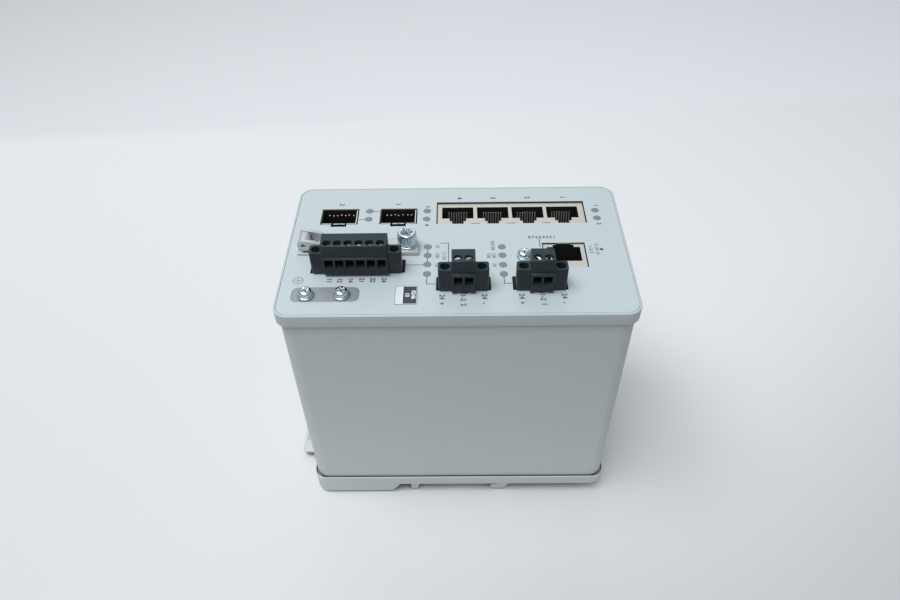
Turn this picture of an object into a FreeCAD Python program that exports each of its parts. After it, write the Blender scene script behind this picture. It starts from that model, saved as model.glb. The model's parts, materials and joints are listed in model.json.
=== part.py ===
"""DIN rail Ethernet switch: a shallow metal housing on a rail tray, modelled lying on its back.

Frame, in millimetres: the origin is the centre of the rail seat, where the flat face of a 35 mm
rail bears on the tray. +Z points out of the rail towards the front panel, +X towards the end that
is uppermost on an upright rail, and +Y towards the device's left side.
"""
import FreeCAD
import Part

import math
import os

V = FreeCAD.Vector

# ---------------------------------------------------------------- driving dimensions
LENGTH = 130.0            # front bezel, along X
WIDTH = 75.0              # front bezel, along Y
PANEL_Z = 110.0           # front face above the rail seat
BEZEL_DEPTH = 5.5         # height of the bezel's lip
BEZEL_R = 5.5
OVERLAY_IN = 0.8          # recess of the printed film from the bezel's edge
BODY_IN = 1.0             # body inside the bezel, all round
BODY_R = 6.0
BODY_WALL = 1.6
TRAY_RIM_Z = 5.9
TRAY_Z = 0.35             # tray's underside; only the rail seat reaches down to z = 0
SEAT_X = (-14.8, 14.0)    # rail seat, clear of the latch's nose and the hook's lip
TRAY_IN = 0.15
TRAY_GAP = 0.5            # shadow gap between body and tray rim
FOOT_Z = -6.1             # lowest plane: foot, lugs and hook
RAIL_HALF = 17.5          # half of the 35 mm rail
PITCH = 3.81              # terminal pitch
HEADER_TOP = 0.4          # header above the front face
PORT_XS = (0.55, 14.65, 28.65, 42.65)
PORT_BLOCK = (-8.0, 51.7, 13.1, 27.2)
CONSOLE_X = 40.7
CONSOLE_BLOCK = (32.6, 49.0, -13.0, 1.0)
SFP_BLOCKS = {"sfp_cage_1": (-30.7, -15.7), "sfp_cage_2": (-54.3, -39.3)}
SFP_Y = (13.3, 23.3)
SFP_DEPTH = 48.5
CONNECTORS = {"alarm": (6, -36.65, -11.6), "power_a": (2, 30.05, -21.3), "power_b": (2, 2.35, -21.3)}
LAMPS = [(-35.1, 21.7), (-35.1, 16.5), (-11.8, 21.5), (-11.9, 16.3), (55.8, 21.0), (55.9, 16.0)]
LAMPS += [(-11.0, y) for y in (-0.8, -5.8, -10.9, -16.1)]
LAMPS += [(17.2, y) for y in (-1.2, -6.0, -11.4, -16.5)]
LAMP_R = 1.5
DOOR_X = (-53.0, -14.5)
DOOR_Y = (-5.8, 2.5)
EAR_T = 1.2               # door's hinge ears
EAR_YS = (-5.1, 1.0)      # lower faces of the two ears
HINGE_X = -57.5
HINGE_H = 4.6             # hinge axis above the front face
THUMB_X, THUMB_Y = -18.7, -1.6
USB = (30.35, -6.3)       # centre of the small upright socket
USB_SCREW = (25.2, -7.0)
BUTTON = (55.0, -3.0)
RIVETS = ((-59.2, -3.9), (-59.2, 1.0))
GROUND_XS = (-54.1, -41.3)
GROUND_Y = -27.0
LATCH_TRAVEL = 4.0        # pull of the rail latch towards -X
LATCH_HALF_Y = 18.5
LATCH_Z = (-2.6, -1.4)
COARSE_SIDES = 12         # sides of lamps, bores and hidden round stock
FINE_SIDES = 24           # sides of screw heads, washers and knobs

os.makedirs("parts", exist_ok=True)


# ---------------------------------------------------------------- shape helpers
def box(x0, x1, y0, y1, z0, z1):
    return Part.makeBox(x1 - x0, y1 - y0, z1 - z0, V(x0, y0, z0))


def polygon_face(corners):
    return Part.Face(Part.makePolygon(corners + corners[:1]))


def solid_of(faces):
    """Closed solid inside a set of faces, with its skin turned outwards."""
    solid = Part.makeSolid(Part.makeShell(faces))
    return solid if solid.Volume > 0 else solid.reversed()


def regular(x, y, z, r, sides):
    """Corners of a many-sided round whose outline runs just in and out of a circle of radius r."""
    step = 2 * math.pi / sides
    reach = r / math.cos(step / 4)
    return [V(x + reach * math.cos(i * step), y + reach * math.sin(i * step), z) for i in range(sides)]


def cyl(x, y, z0, z1, r, sides=COARSE_SIDES):
    """Upright small round stock or bore, drawn with flat sides to keep the whole switch light."""
    return polygon_face(regular(x, y, z0, r, sides)).extrude(V(0, 0, z1 - z0))


def taper(x, y, z0, z1, r0, r1, sides=FINE_SIDES):
    """Upright cone with flat sides, from radius r0 at z0 to r1 at z1."""
    low, high = regular(x, y, z0, r0, sides), regular(x, y, z1, r1, sides)
    flanks = [polygon_face([low[i - 1], low[i], high[i], high[i - 1]]) for i in range(sides)]
    return solid_of([polygon_face(low), polygon_face(high)] + flanks)


def washer(x, y, z0, z1, r, bore):
    return cyl(x, y, z0, z1, r, FINE_SIDES).cut(cyl(x, y, z0 - 1, z1 + 1, bore, FINE_SIDES))


def pin_y(x, z, y0, y1, r):
    """Round pin or bore along Y."""
    return Part.makeCylinder(r, y1 - y0, V(x, y0, z), V(0, 1, 0))


def slab(x0, x1, y0, y1, z0, z1, r):
    """Upright prism on a rectangle with rounded corners."""
    solid = box(x0, x1, y0, y1, z0, z1)
    upright = [e for e in solid.Edges if abs(e.tangentAt(e.FirstParameter).z) > 0.9]
    return solid.makeFillet(r, upright)


def ring_slab(half_x, half_y, z0, z1, r):
    return slab(-half_x, half_x, -half_y, half_y, z0, z1, r)


def prism(points, vector):
    """Straight sweep of a closed polygon."""
    return polygon_face([V(*p) for p in points]).extrude(V(*vector))


def prism_y(profile, y0, y1):
    """Sweep along Y of a profile given as (x, z) pairs."""
    return prism([(x, y0, z) for x, z in profile], (0, y1 - y0, 0))


def prism_x(profile, x0, x1):
    """Sweep along X of a profile given as (y, z) pairs."""
    return prism([(x0, y, z) for y, z in profile], (x1 - x0, 0, 0))


def fuse(shapes):
    first = shapes[0]
    return first.multiFuse(shapes[1:]).removeSplitter() if len(shapes) > 1 else first


def cut(shape, tools):
    return shape.cut(Part.makeCompound(tools)).removeSplitter()


def group(shapes):
    """Several separate pieces that are kept as one sub-part."""
    return Part.makeCompound(shapes)


def save(name, shape):
    bad = [s for s in shape.Solids if not s.isValid() or s.Volume <= 0]
    if bad or not shape.Solids:
        raise ValueError(name + " has no closed, valid solid")
    shape.exportStep(os.path.join("parts", name + ".step"))


def cross_recess(x, y, top, arm, depth):
    half = 0.16 * arm + 0.12
    bars = [
        box(x - arm, x + arm, y - half, y + half, top - depth, top + 0.1),
        box(x - half, x + half, y - arm, y + arm, top - depth, top + 0.1),
    ]
    return fuse(bars)


def pan_screw(x, y, seat, head_r, head_h, shank_r, shank):
    """Cross-recess pan-head screw standing up out of the plane `seat`."""
    shoulder = seat + head_h * 0.6
    parts = [
        cyl(x, y, seat, shoulder, head_r, FINE_SIDES),
        taper(x, y, shoulder, seat + head_h, head_r, head_r - head_h * 0.4),
        cyl(x, y, seat - shank, seat, shank_r),
    ]
    return cut(fuse(parts), [cross_recess(x, y, seat + head_h, head_r * 0.62, head_h * 0.5)])


def slotted_head(x, y, z0, z1, r):
    slot = box(x - r, x + r, y - 0.3, y + 0.3, z1 - 0.7, z1 + 0.1)
    return cyl(x, y, z0, z1, r).cut(slot)


# ---------------------------------------------------------------- modular jack openings
# Each step of an opening is half its width and where it runs, from the contact wall to the latch.
PORT_STEPS = [(6.3, 0.0, 7.2), (3.3, 7.1, 9.0), (2.25, 8.9, 10.6)]
CONSOLE_STEPS = [(6.3, 0.0, 8.0), (4.0, 7.9, 9.3), (2.95, 9.2, 10.7)]
PORT_WALL_Y = 24.35
CONSOLE_WALL_Y = -9.2
PORT_FACE_Z = PANEL_Z - 0.6
CONSOLE_FACE_Z = PANEL_Z - 0.4
JACK_DEPTH = 13.0
SHIELD_GAPS = (0.4, 0.4, 0.05, 0.5)     # panel cut-out to shield, at -X, +X, -Y and +Y
GROUND_TAB_XS = (7.6, 21.65, 35.65)     # grounding tabs between the ports


def jack_opening(steps, cx, wall_y, towards, z0, z1):
    """Stepped opening of an eight-way jack: wide mouth, shoulder and latch slot.

    wall_y is the contact side of the mouth, and towards is +1 or -1, the way to the latch.
    """
    parts = []
    for half, a, b in steps:
        ya, yb = sorted((wall_y + towards * a, wall_y + towards * b))
        parts.append(box(cx - half, cx + half, ya, yb, z0, z1))
    return fuse(parts)


def jack_contacts(cx, wall_y, towards, face_z):
    """Eight sprung wires that slope from the mouth's contact wall down to the floor."""
    top, foot = face_z - 2.6, face_z - JACK_DEPTH + 1.2
    profile = [
        (wall_y, top),
        (wall_y, top - 1.0),
        (wall_y + towards * 1.9, foot),
        (wall_y + towards * 2.25, foot + 0.2),
    ]
    middles = [cx + (i - 3.5) * 1.02 for i in range(8)]
    return [prism_x(profile, x - 0.22, x + 0.22) for x in middles]


def shield(block, openings, back_z, face_z):
    """Folded metal shield with a front face pierced for the openings, open at the back."""
    x0, x1, y0, y1 = [c + s * g for c, s, g in zip(block, (1, -1, 1, -1), SHIELD_GAPS)]
    outer = box(x0, x1, y0, y1, back_z, face_z)
    inner = box(x0 + 0.4, x1 - 0.4, y0 + 0.4, y1 - 0.4, back_z - 0.1, face_z - 0.4)
    return cut(outer, [inner] + openings)


def insert(block, openings, back_z, face_z):
    """Moulded body inside the shield."""
    x0, x1, y0, y1 = [c + s * (g + 0.45) for c, s, g in zip(block, (1, -1, 1, -1), SHIELD_GAPS)]
    return cut(box(x0, x1, y0, y1, back_z, face_z - 0.4), openings)


def gasket(block):
    """Thin dark seal between a shield and three sides of its cut-out."""
    x0, x1, y0, y1 = block
    seal = box(x0 + 0.02, x1 - 0.02, y0 + 0.02, y1 - 0.02, PANEL_Z - 2.3, PANEL_Z - 0.1)
    return seal.cut(box(x0 + 0.36, x1 - 0.36, y0 - 1.0, y1 - 0.46, PANEL_Z - 3.0, PANEL_Z))


def modular_jacks():
    back = PANEL_Z - 24.5
    holes = [
        jack_opening(PORT_STEPS, x, PORT_WALL_Y, -1, PORT_FACE_Z - JACK_DEPTH, PANEL_Z)
        for x in PORT_XS
    ]
    notches = []
    for x in GROUND_TAB_XS:
        tab = box(x - 1.25, x + 1.25, 13.0, 13.6, PORT_FACE_Z - 2.0, PORT_FACE_Z - 0.3)
        notches.append(box(x - 1.7, x + 1.7, 13.0, 14.05, PORT_FACE_Z - 1.3, PANEL_Z).cut(tab))
    save("port_shield", shield(PORT_BLOCK, holes + notches, back, PORT_FACE_Z))
    save("port_insert", insert(PORT_BLOCK, holes, back + 0.5, PORT_FACE_Z))
    wires = []
    for x in PORT_XS:
        wires += jack_contacts(x, PORT_WALL_Y, -1, PORT_FACE_Z)
    save("port_contacts", group(wires))

    back = PANEL_Z - 21.5
    floor = CONSOLE_FACE_Z - JACK_DEPTH
    hole = [jack_opening(CONSOLE_STEPS, CONSOLE_X, CONSOLE_WALL_Y, 1, floor, PANEL_Z)]
    hood_profile = [
        (-0.5, floor - 1.5),
        (0.95, floor - 1.5),
        (0.95, PANEL_Z - 0.5),
        (0.6, PANEL_Z - 0.5),
        (0.6, floor),
        (-0.5, floor),
    ]
    hood = prism_x(hood_profile, CONSOLE_X - 2.85, CONSOLE_X + 2.85)
    window = box(CONSOLE_X - 2.95, CONSOLE_X + 2.95, 0.05, 2.0, floor - 1.6, PANEL_Z)
    save("console_shield", shield(CONSOLE_BLOCK, hole + [window], back, CONSOLE_FACE_Z))
    save("console_insert", fuse([insert(CONSOLE_BLOCK, hole, back + 0.5, CONSOLE_FACE_Z), hood]))
    save("jack_gaskets", group([gasket(PORT_BLOCK), gasket(CONSOLE_BLOCK).cut(window)]))
    save("console_contacts", group(jack_contacts(CONSOLE_X, CONSOLE_WALL_Y, 1, CONSOLE_FACE_Z)))


# ---------------------------------------------------------------- housing and front panel
def header_block(ways, cx, cy, grow=0.0):
    half = ways * PITCH / 2 + 5.95 + grow
    return cx - half, cx + half, cy - 3.5 - grow, cy + 3.0 + grow


def sfp_window(x0, x1, z0, z1):
    """Cage opening with the notch for a module's latch on its -Y side."""
    mid = (x0 + x1) / 2
    notch = box(mid - 3.1, mid + 3.1, 11.9, 14.0, z0, z1)
    return fuse([box(x0, x1, SFP_Y[0], SFP_Y[1], z0, z1), notch])


def lamp_windows(z0, z1, grow):
    return [cyl(x, y, z0, z1, LAMP_R + grow) for x, y in LAMPS]


def lamp_slots(z0, z1):
    """Slots in the bezel behind the film, one for each group of lamps."""
    groups = [LAMPS[0:2], LAMPS[2:4], LAMPS[4:6], LAMPS[6:10], LAMPS[10:14]]
    slots = []
    for lamps in groups:
        xs, ys = zip(*lamps)
        reach = LAMP_R + 0.3
        slots.append(box(min(xs) - reach, max(xs) + reach, min(ys) - reach, max(ys) + reach, z0, z1))
    return slots


def front_cutouts(z0, z1):
    tools = [box(*PORT_BLOCK, z0, z1), box(*CONSOLE_BLOCK, z0, z1)]
    tools += [sfp_window(x0, x1, z0, z1) for x0, x1 in SFP_BLOCKS.values()]
    tools += [box(*header_block(n, x, y, 0.15), z0, z1) for n, x, y in CONNECTORS.values()]
    tools.append(box(USB[0] - 2.15, USB[0] + 2.15, USB[1] - 4.05, USB[1] + 4.05, z0, z1))
    tools.append(cyl(*BUTTON, z0, z1, 0.75))
    tools.append(box(-49.5, -24.7, -3.3, -0.6, z0, z1))
    return tools


def housing():
    half_x, half_y = LENGTH / 2 - BODY_IN, WIDTH / 2 - BODY_IN
    top = PANEL_Z - 2.4
    outer = ring_slab(half_x, half_y, 4.7, top, BODY_R)
    inner = ring_slab(half_x - BODY_WALL, half_y - BODY_WALL, 4.0, top + 1, BODY_R - BODY_WALL)
    save("housing_shell", outer.cut(inner))

    bezel = ring_slab(LENGTH / 2, WIDTH / 2, PANEL_Z - BEZEL_DEPTH, PANEL_Z, BEZEL_R)
    rim = [e for e in bezel.Edges if abs(e.CenterOfMass.z - PANEL_Z) < 1e-6]
    bezel = bezel.makeChamfer(0.4, rim)
    lip = ring_slab(half_x + 0.05, half_y + 0.05, 0.0, top, BODY_R)
    film_x, film_y = LENGTH / 2 - OVERLAY_IN, WIDTH / 2 - OVERLAY_IN
    recess = ring_slab(film_x, film_y, PANEL_Z - 0.3, PANEL_Z + 1, BEZEL_R - OVERLAY_IN)
    ground_holes = [cyl(x, GROUND_Y, 100, 120, 1.65) for x in GROUND_XS]
    holes = [cyl(*USB_SCREW, 100, 120, 1.25)]
    holes += [cyl(x, y, 100, 120, 0.8) for x, y in RIVETS]
    socket_hole = cyl(THUMB_X, THUMB_Y, 100, 120, 3.0, FINE_SIDES)
    tools = [lip, recess, socket_hole] + ground_holes + holes + front_cutouts(100, 120)
    save("front_bezel", cut(bezel, tools + lamp_slots(100, 120)))

    film = ring_slab(film_x - 0.15, film_y - 0.15, PANEL_Z - 0.3, PANEL_Z - 0.07, BEZEL_R - OVERLAY_IN)
    pad = slab(-59.4, -35.0, -30.3, -22.8, 100, 120, 2.4)
    socket_hole = cyl(THUMB_X, THUMB_Y, 100, 120, 3.4, FINE_SIDES)
    tools = [pad, socket_hole] + holes + front_cutouts(100, 120) + lamp_windows(100, 120, 0.03)
    save("front_overlay", cut(film, tools))

    plate = slab(-59.3, -35.1, -30.2, -22.9, PANEL_Z - 0.3, PANEL_Z - 0.1, 2.3)
    save("ground_plate", cut(plate, ground_holes))
    save("panel_sticker", box(-22.2, -14.1, -31.9, -22.5, PANEL_Z - 0.07, PANEL_Z + 0.03))


def light_pipes():
    """Round lamp windows that end flush with the film."""
    save("light_pipes", group(lamp_windows(104.0, PANEL_Z - 0.05, 0.0)))


# ---------------------------------------------------------------- rail tray and latch
TRAY_X = LENGTH / 2 - TRAY_IN
TRAY_Y = WIDTH / 2 - TRAY_IN
PAD_Y = 20.6              # inner side of the foot pads, clear of the latch guides
SCREW_SEATS = [(a * 56.0, b * 29.0, 0.9 if a > 0 else -3.6) for a in (-1, 1) for b in (-1, 1)]


def rear_tray():
    """Moulded tray: rim round the body, rail seat, sloped foot, lugs, rail hook and spring stop."""
    tray = ring_slab(TRAY_X, TRAY_Y, TRAY_Z, TRAY_RIM_Z, BODY_R)
    rim = [e for e in tray.Edges if abs(e.CenterOfMass.z - TRAY_RIM_Z) < 1e-6]
    tray = tray.makeChamfer(0.2, rim)
    gap_x, gap_y = LENGTH / 2 - BODY_IN + TRAY_GAP, WIDTH / 2 - BODY_IN + TRAY_GAP
    seat = ring_slab(gap_x, gap_y, 4.7, 10.0, 4.9)
    ledge = ring_slab(gap_x - 1.1, gap_y - 1.1, 3.0, 11.0, 4.0)
    groove = ring_slab(gap_x, gap_y, 3.4, 10.0, 4.9).cut(ledge)
    floor = ring_slab(gap_x - 2.6, gap_y - 2.6, 2.2, 10.0, 3.5)
    tray = cut(tray, [seat, groove, floor])

    foot = [(-66.0, 1.4), (-66.0, -1.4), (-64.85, -2.2), (-64.1, -4.6), (-61.8, FOOT_Z)]
    foot += [(-31.0, FOOT_Z), (-27.0, -0.6), (-26.6, 1.4)]
    lug = [(-21.8, 0.8), (-21.6, FOOT_Z + 0.7), (-21.0, FOOT_Z), (-18.8, FOOT_Z), (-17.8, 0.0), (-17.8, 0.8)]
    hook = [
        (17.7, 0.8),
        (17.7, -1.7),
        (14.4, -3.6),
        (15.2, -5.4),
        (16.6, FOOT_Z),
        (20.2, FOOT_Z),
        (23.2, -1.2),
        (23.8, 0.8),
    ]
    within = ring_slab(TRAY_X, TRAY_Y, -10.0, 0.8, BODY_R)
    raised = []
    for side in (-1, 1):
        pad_y = sorted((side * PAD_Y, side * TRAY_Y))
        lug_y = sorted((side * 24.0, side * (TRAY_Y - 1.2)))
        pad = prism_y(foot, *pad_y)
        outer = [
            e for e in pad.Edges
            if abs(e.CenterOfMass.z - FOOT_Z) < 0.01 and abs(abs(e.CenterOfMass.y) - TRAY_Y) < 0.01
        ]
        raised.append(pad.makeChamfer(1.1, outer).common(within))
        raised += [prism_y(lug, *lug_y), prism_y(hook, *lug_y)]
    raised.append(prism_y(hook, -12.0, 12.0))
    raised.append(box(*SEAT_X, -36.0, 36.0, 0.0, 0.8))
    raised.append(box(-47.7, -44.7, -2.4, 2.4, -4.8, 0.8))
    holes = [cyl(x, y, -10, 4, 1.7) for x, y, _ in SCREW_SEATS]
    sinks = [cyl(x, y, -10, z, 3.2, FINE_SIDES) for x, y, z in SCREW_SEATS]
    save("rear_tray", cut(fuse([tray] + raised), holes + sinks))

    screws = []
    for x, y, z in SCREW_SEATS:
        screw = pan_screw(0, 0, 0, 2.9, 1.9, 1.5, 9.4 - z)
        screw.rotate(V(0, 0, 0), V(1, 0, 0), 180)
        screw.translate(V(x, y, z))
        screws.append(screw)
    save("tray_screws", group(screws))


def tray_posts():
    """Threaded hexagonal posts that tie the tray to the boards' frame inside the body."""
    posts = [
        cyl(x, y, 2.25, 20.0, 3.0, 6).cut(cyl(x, y, 2.0, 12.0, 1.55))
        for x, y, _ in SCREW_SEATS
    ]
    save("tray_posts", group(posts))


def coil_spring(x0, x1, z, turns, coil_r, wire):
    """Helical spring along X between two planes, with straight steps round each turn."""
    steps = 12
    count = turns * steps
    half = wire / 2
    stations = []
    for i in range(count + 1):
        a = 2 * math.pi * i / steps
        x = x0 + half + (x1 - x0 - wire) * i / count
        corners = []
        for dx, dr in ((-half, -half), (half, -half), (half, half), (-half, half)):
            r = coil_r + dr
            corners.append(V(x + dx, r * math.cos(a), z + r * math.sin(a)))
        stations.append(corners)
    faces = [polygon_face(stations[0]), polygon_face(stations[-1])]
    for a, b in zip(stations, stations[1:]):
        for k in range(4):
            n = (k + 1) % 4
            faces += [polygon_face([a[k], a[n], b[n]]), polygon_face([a[k], b[n], b[k]])]
    return solid_of(faces)


def din_latch():
    """Sheet slide with a finger tab, a spring window and a nose that goes under the rail."""
    z0, z1 = LATCH_Z
    tip, root, nose_x = -73.6, -66.0, -15.2
    side = [(tip, 17.4), (tip + 0.7, 18.3), (root, LATCH_HALF_Y), (nose_x, LATCH_HALF_Y)]
    outline = side + [(x, -y) for x, y in reversed(side)]
    plate = prism([(x, y, z0) for x, y in outline], (0, 0, z1 - z0))
    window = box(-48.0, -28.0, -3.2, 3.2, -10, 10)
    grooves = [box(x, x + 0.8, -12.0, 12.0, z1 - 0.35, 10) for x in (tip + 1.4, tip + 3.0, tip + 4.6)]
    lip = [(tip, z0), (tip + 1.0, z0), (tip + 1.0, -4.6), (tip + 0.4, -4.6), (tip, -4.2)]
    bevel = prism_y([(nose_x - 1.4, z1 + 0.01), (-15.1, z1 + 0.01), (-15.1, z1 - 0.8)], -30, 30)
    save("din_latch", cut(fuse([cut(plate, [window] + grooves), prism_y(lip, -16.5, 16.5)]), [bevel]))

    inner, outer = 18.8, 20.4
    side = [(outer, TRAY_Z), (outer, -4.1)]
    under = [(inner, -2.8), (inner, TRAY_Z)]
    cross = [(-y, z) for y, z in side] + [(y, z) for y, z in reversed(side)]
    cross += [(y, z) for y, z in reversed(under)] + [(-y, z) for y, z in under]
    save("latch_guides", group([prism_x(cross, x0, x1) for x0, x1 in ((-60.0, -52.0), (-26.0, -21.0))]))

    save("latch_spring", coil_spring(-44.65, -28.1, -2.0, 7, 1.45, 0.55))


# ---------------------------------------------------------------- pluggable terminal blocks
FLANGE_SCREW_X = 2.7      # from the last way's edge to the flange screw
HEADER_TOP_Z = PANEL_Z + HEADER_TOP
PLUG_TOP_Z = PANEL_Z + 14.8


def way_places(ways, cx):
    return [cx + (i - (ways - 1) / 2) * PITCH for i in range(ways)]


def flange_places(ways, cx):
    reach = ways * PITCH / 2 + FLANGE_SCREW_X
    return [cx - reach, cx + reach]


def terminal_header(name, ways, cx, cy):
    """Board header: open-topped shroud with a threaded flange at each end."""
    x0, x1, y0, y1 = header_block(ways, cx, cy)
    top = HEADER_TOP_Z
    core = ways * PITCH / 2 - 0.25
    well = box(cx - core, cx + core, cy - 2.6, cy + 2.6, top - 7.6, top + 1)
    bores = [cyl(x, cy - 1.0, top - 6.0, top + 1, 1.35) for x in flange_places(ways, cx)]
    save(name + "_header", cut(box(x0, x1, y0, y1, 101.6, top), [well] + bores))


def header_pins(half, z0, z1):
    """Square pins of all three headers, with half their width given."""
    pins = []
    for ways, cx, cy in CONNECTORS.values():
        for x in way_places(ways, cx):
            pins.append(box(x - half, x + half, cy - half, cy + half, z0, z1))
    return pins


def plug_outline(front, lip, nose, sole, back):
    """(y, z) outline of a plug: tall block for the screws, ledge with a lip, and wire-entry nose."""
    z, top = PANEL_Z, HEADER_TOP_Z + 0.1
    return [
        (-3.4, top),
        (-3.4, z + sole),
        (nose + 0.3, z + sole),
        (nose, z + sole + 0.3),
        (nose, z + 8.4),
        (lip, z + 8.6),
        (lip, z + 9.0),
        (lip + 0.2, z + 9.2),
        (front, z + 9.2),
        (front, PLUG_TOP_Z - 0.3),
        (front + 0.3, PLUG_TOP_Z),
        (back - 0.3, PLUG_TOP_Z),
        (back, PLUG_TOP_Z - 0.3),
        (back, z + 9.0),
        (3.0, z + 8.2),
        (3.0, top),
    ]


def terminal_plug(name, ways, cx, cy, outline, bore_y, screw_z, scalloped):
    """Angled plug: screws face the front, wires enter on the -Y side, screw flanges at both ends."""
    z = PANEL_Z
    top = HEADER_TOP_Z + 0.1
    half = ways * PITCH / 2 + 0.35
    flange = ways * PITCH / 2 + 5.2
    block = prism_x([(cy + y, zz) for y, zz in outline], cx - half, cx + half)
    ears = slab(cx - flange, cx + flange, cy - 4.4, cy + 0.3, top, z + 10.2, 0.9)
    core = ways * PITCH / 2 - 0.4
    tongue = box(cx - core, cx + core, cy - 2.4, cy + 2.4, top - 7.3, top)
    tools = []
    for x in way_places(ways, cx):
        tools.append(box(x - 1.5, x + 1.5, cy - 8.0, cy - 0.4, z + 4.2, z + 8.1))
        tools.append(cyl(x, cy + bore_y, z + 10.6, z + 20, 1.5))
        tools.append(box(x - 0.45, x + 0.45, cy - 0.45, cy + 0.45, top - 8.0, top - 1.0))
        if scalloped:
            tools.append(pin_y(x, z + 0.6, cy - 7.0, cy - 3.5, 0.95))
    tools += [cyl(x, cy - 2.1, z + 5.4, z + 20, 1.75, FINE_SIDES) for x in flange_places(ways, cx)]
    save(name + "_plug", cut(fuse([block, ears, tongue]), tools))

    heads = [slotted_head(x, cy + bore_y, z + 10.6, z + screw_z, 1.4) for x in way_places(ways, cx)]
    save(name + "_screws", group(heads))
    heads = [slotted_head(x, cy - 2.1, z + 5.4, z + 7.0, 1.6) for x in flange_places(ways, cx)]
    save(name + "_flange_screws", group(heads))


def terminal_blocks():
    for name, (ways, cx, cy) in CONNECTORS.items():
        terminal_header(name, ways, cx, cy)
        if name == "alarm":
            outline = plug_outline(front=-5.8, lip=-6.3, nose=-6.0, sole=1.0, back=1.5)
            terminal_plug(name, ways, cx, cy, outline, -4.05, 13.2, False)
        else:
            outline = plug_outline(front=-4.9, lip=-5.9, nose=-5.9, sole=0.6, back=2.0)
            terminal_plug(name, ways, cx, cy, outline, -2.85, 14.0, True)
    save("header_pins", group(header_pins(0.4, 98.4, 101.6)))


# ---------------------------------------------------------------- module cages and small socket
def sfp_cages():
    """Folded cages with a latch spring in the -Y wall, and the card-edge sockets at their ends."""
    top = PANEL_Z - 0.15
    floor = top - SFP_DEPTH
    wall = 0.45
    y0, y1 = SFP_Y[0] + 0.35, SFP_Y[1] - 0.1
    sockets = []
    for name, (left, right) in SFP_BLOCKS.items():
        x0, x1 = left + 0.1, right - 0.5
        mid = (left + right) / 2
        outer = box(x0, x1, y0, y1, floor, top)
        inner = box(x0 + wall, x1 - wall, y0 + wall, y1 - wall, floor + wall, top + 1)
        slits = [
            box(mid + s * 2.7 - 0.3, mid + s * 2.7 + 0.3, y0 - 1, y0 + wall + 0.1, top - 11.0, top + 1)
            for s in (-1, 1)
        ]
        mouth = box(mid - 3.0, mid + 3.0, y0 - 1, y0 + wall + 0.1, top - 1.6, top + 1)
        leaf = [
            (y0 + wall, top - 0.5),
            (y0 + wall, top - 9.5),
            (y0 + 1.35, top - 5.0),
            (y0 + 1.0, top - 0.5),
        ]
        save(name, fuse([cut(outer, [inner, mouth] + slits), prism_x(leaf, mid - 2.35, mid + 2.35)]))
        body = box(mid - 5.6, mid + 5.6, y0 + wall, y0 + 6.2, floor + wall, floor + 8.5)
        sockets.append(body.cut(box(mid - 4.4, mid + 4.4, y0 + 2.8, y0 + 4.2, floor + 2.0, top)))
    save("sfp_sockets", group(sockets))


def usb_socket():
    x, y = USB
    top = PANEL_Z - 0.2
    half_x, half_y, wall = 1.95, 3.85, 0.3
    shell = box(x - half_x, x + half_x, y - half_y, y + half_y, top - 9.0, top)
    half_x, half_y = half_x - wall, half_y - wall
    save("usb_shell", shell.cut(box(x - half_x, x + half_x, y - half_y, y + half_y, top - 8.0, top + 1)))
    save("usb_tongue", box(x - 0.35, x + 0.35, y - 2.9, y + 2.9, top - 8.0, top - 1.2))
    seat = PANEL_Z + 1.0
    save("usb_screw", pan_screw(*USB_SCREW, seat, 2.5, 2.1, 1.2, 6.5))
    save("usb_screw_washer", washer(*USB_SCREW, PANEL_Z, seat, 2.7, 1.3))


# ---------------------------------------------------------------- card door and captive screw
def card_door():
    z = PANEL_Z
    axis_z = z + HINGE_H
    (x0, x1), (y0, y1) = DOOR_X, DOOR_Y
    corner = 1.8
    outline = [(x0, y0), (x1, y0), (x1, y1 - corner), (x1 - corner, y1), (x0, y1)]
    leaf = prism([(x, y, z + 0.25) for x, y in outline], (0, 0, 1.45))
    arm = [
        (HINGE_X, axis_z - 2.3),
        (-54.6, axis_z - 2.2),
        (-53.0, z + 0.25),
        (-44.0, z + 0.25),
        (-43.0, z + 1.7),
        (-46.5, z + 2.8),
        (-51.2, z + 5.2),
        (-54.0, z + 6.2),
        (-56.9, axis_z + 2.25),
    ]
    ears = []
    for y in EAR_YS:
        ears.append(fuse([pin_y(HINGE_X, axis_z, y, y + EAR_T, 2.3), prism_y(arm, y, y + EAR_T)]))
    boss = cyl(THUMB_X, THUMB_Y, z + 1.0, z + 2.2, 3.9, FINE_SIDES)
    hole = cyl(THUMB_X, THUMB_Y, z - 1, z + 5, 1.85)
    pocket = cyl(THUMB_X, THUMB_Y, z - 1, z + 0.75, 2.65)
    bore = pin_y(HINGE_X, axis_z, -10, 10, 0.8)
    save("sd_door", cut(fuse([leaf, boss] + ears), [bore, hole, pocket]))

    near, far = EAR_YS[0], EAR_YS[1] + EAR_T
    knuckle_y = (near + EAR_T + 0.15, far - EAR_T - 0.15)
    base = box(-60.3, -53.9, near - 0.15, far + 0.15, z - 0.07, z + 0.9)
    knuckle = pin_y(HINGE_X, axis_z, *knuckle_y, 2.2)
    web = prism_y([(-60.0, z + 0.8), (-59.4, axis_z), (-55.7, axis_z), (-54.6, z + 0.8)], *knuckle_y)
    rivets = [cyl(x, y, z - 3.5, z + 0.1, 0.75) for x, y in RIVETS]
    bore = pin_y(HINGE_X, axis_z, -10, 10, 0.75)
    save("sd_hinge_base", cut(fuse([base, knuckle, web] + rivets), [bore]))
    save("sd_hinge_pin", pin_y(HINGE_X, axis_z, near + 0.5, far + 0.2, 0.75))


def knurled(x, y, z0, z1, r, teeth, depth):
    """Upright grip with straight V teeth round it."""
    outline = []
    for i in range(2 * teeth):
        a = math.pi * i / teeth
        reach = r - depth * (i % 2)
        outline.append((x + reach * math.cos(a), y + reach * math.sin(a), z0))
    return prism(outline, (0, 0, z1 - z0))


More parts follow.
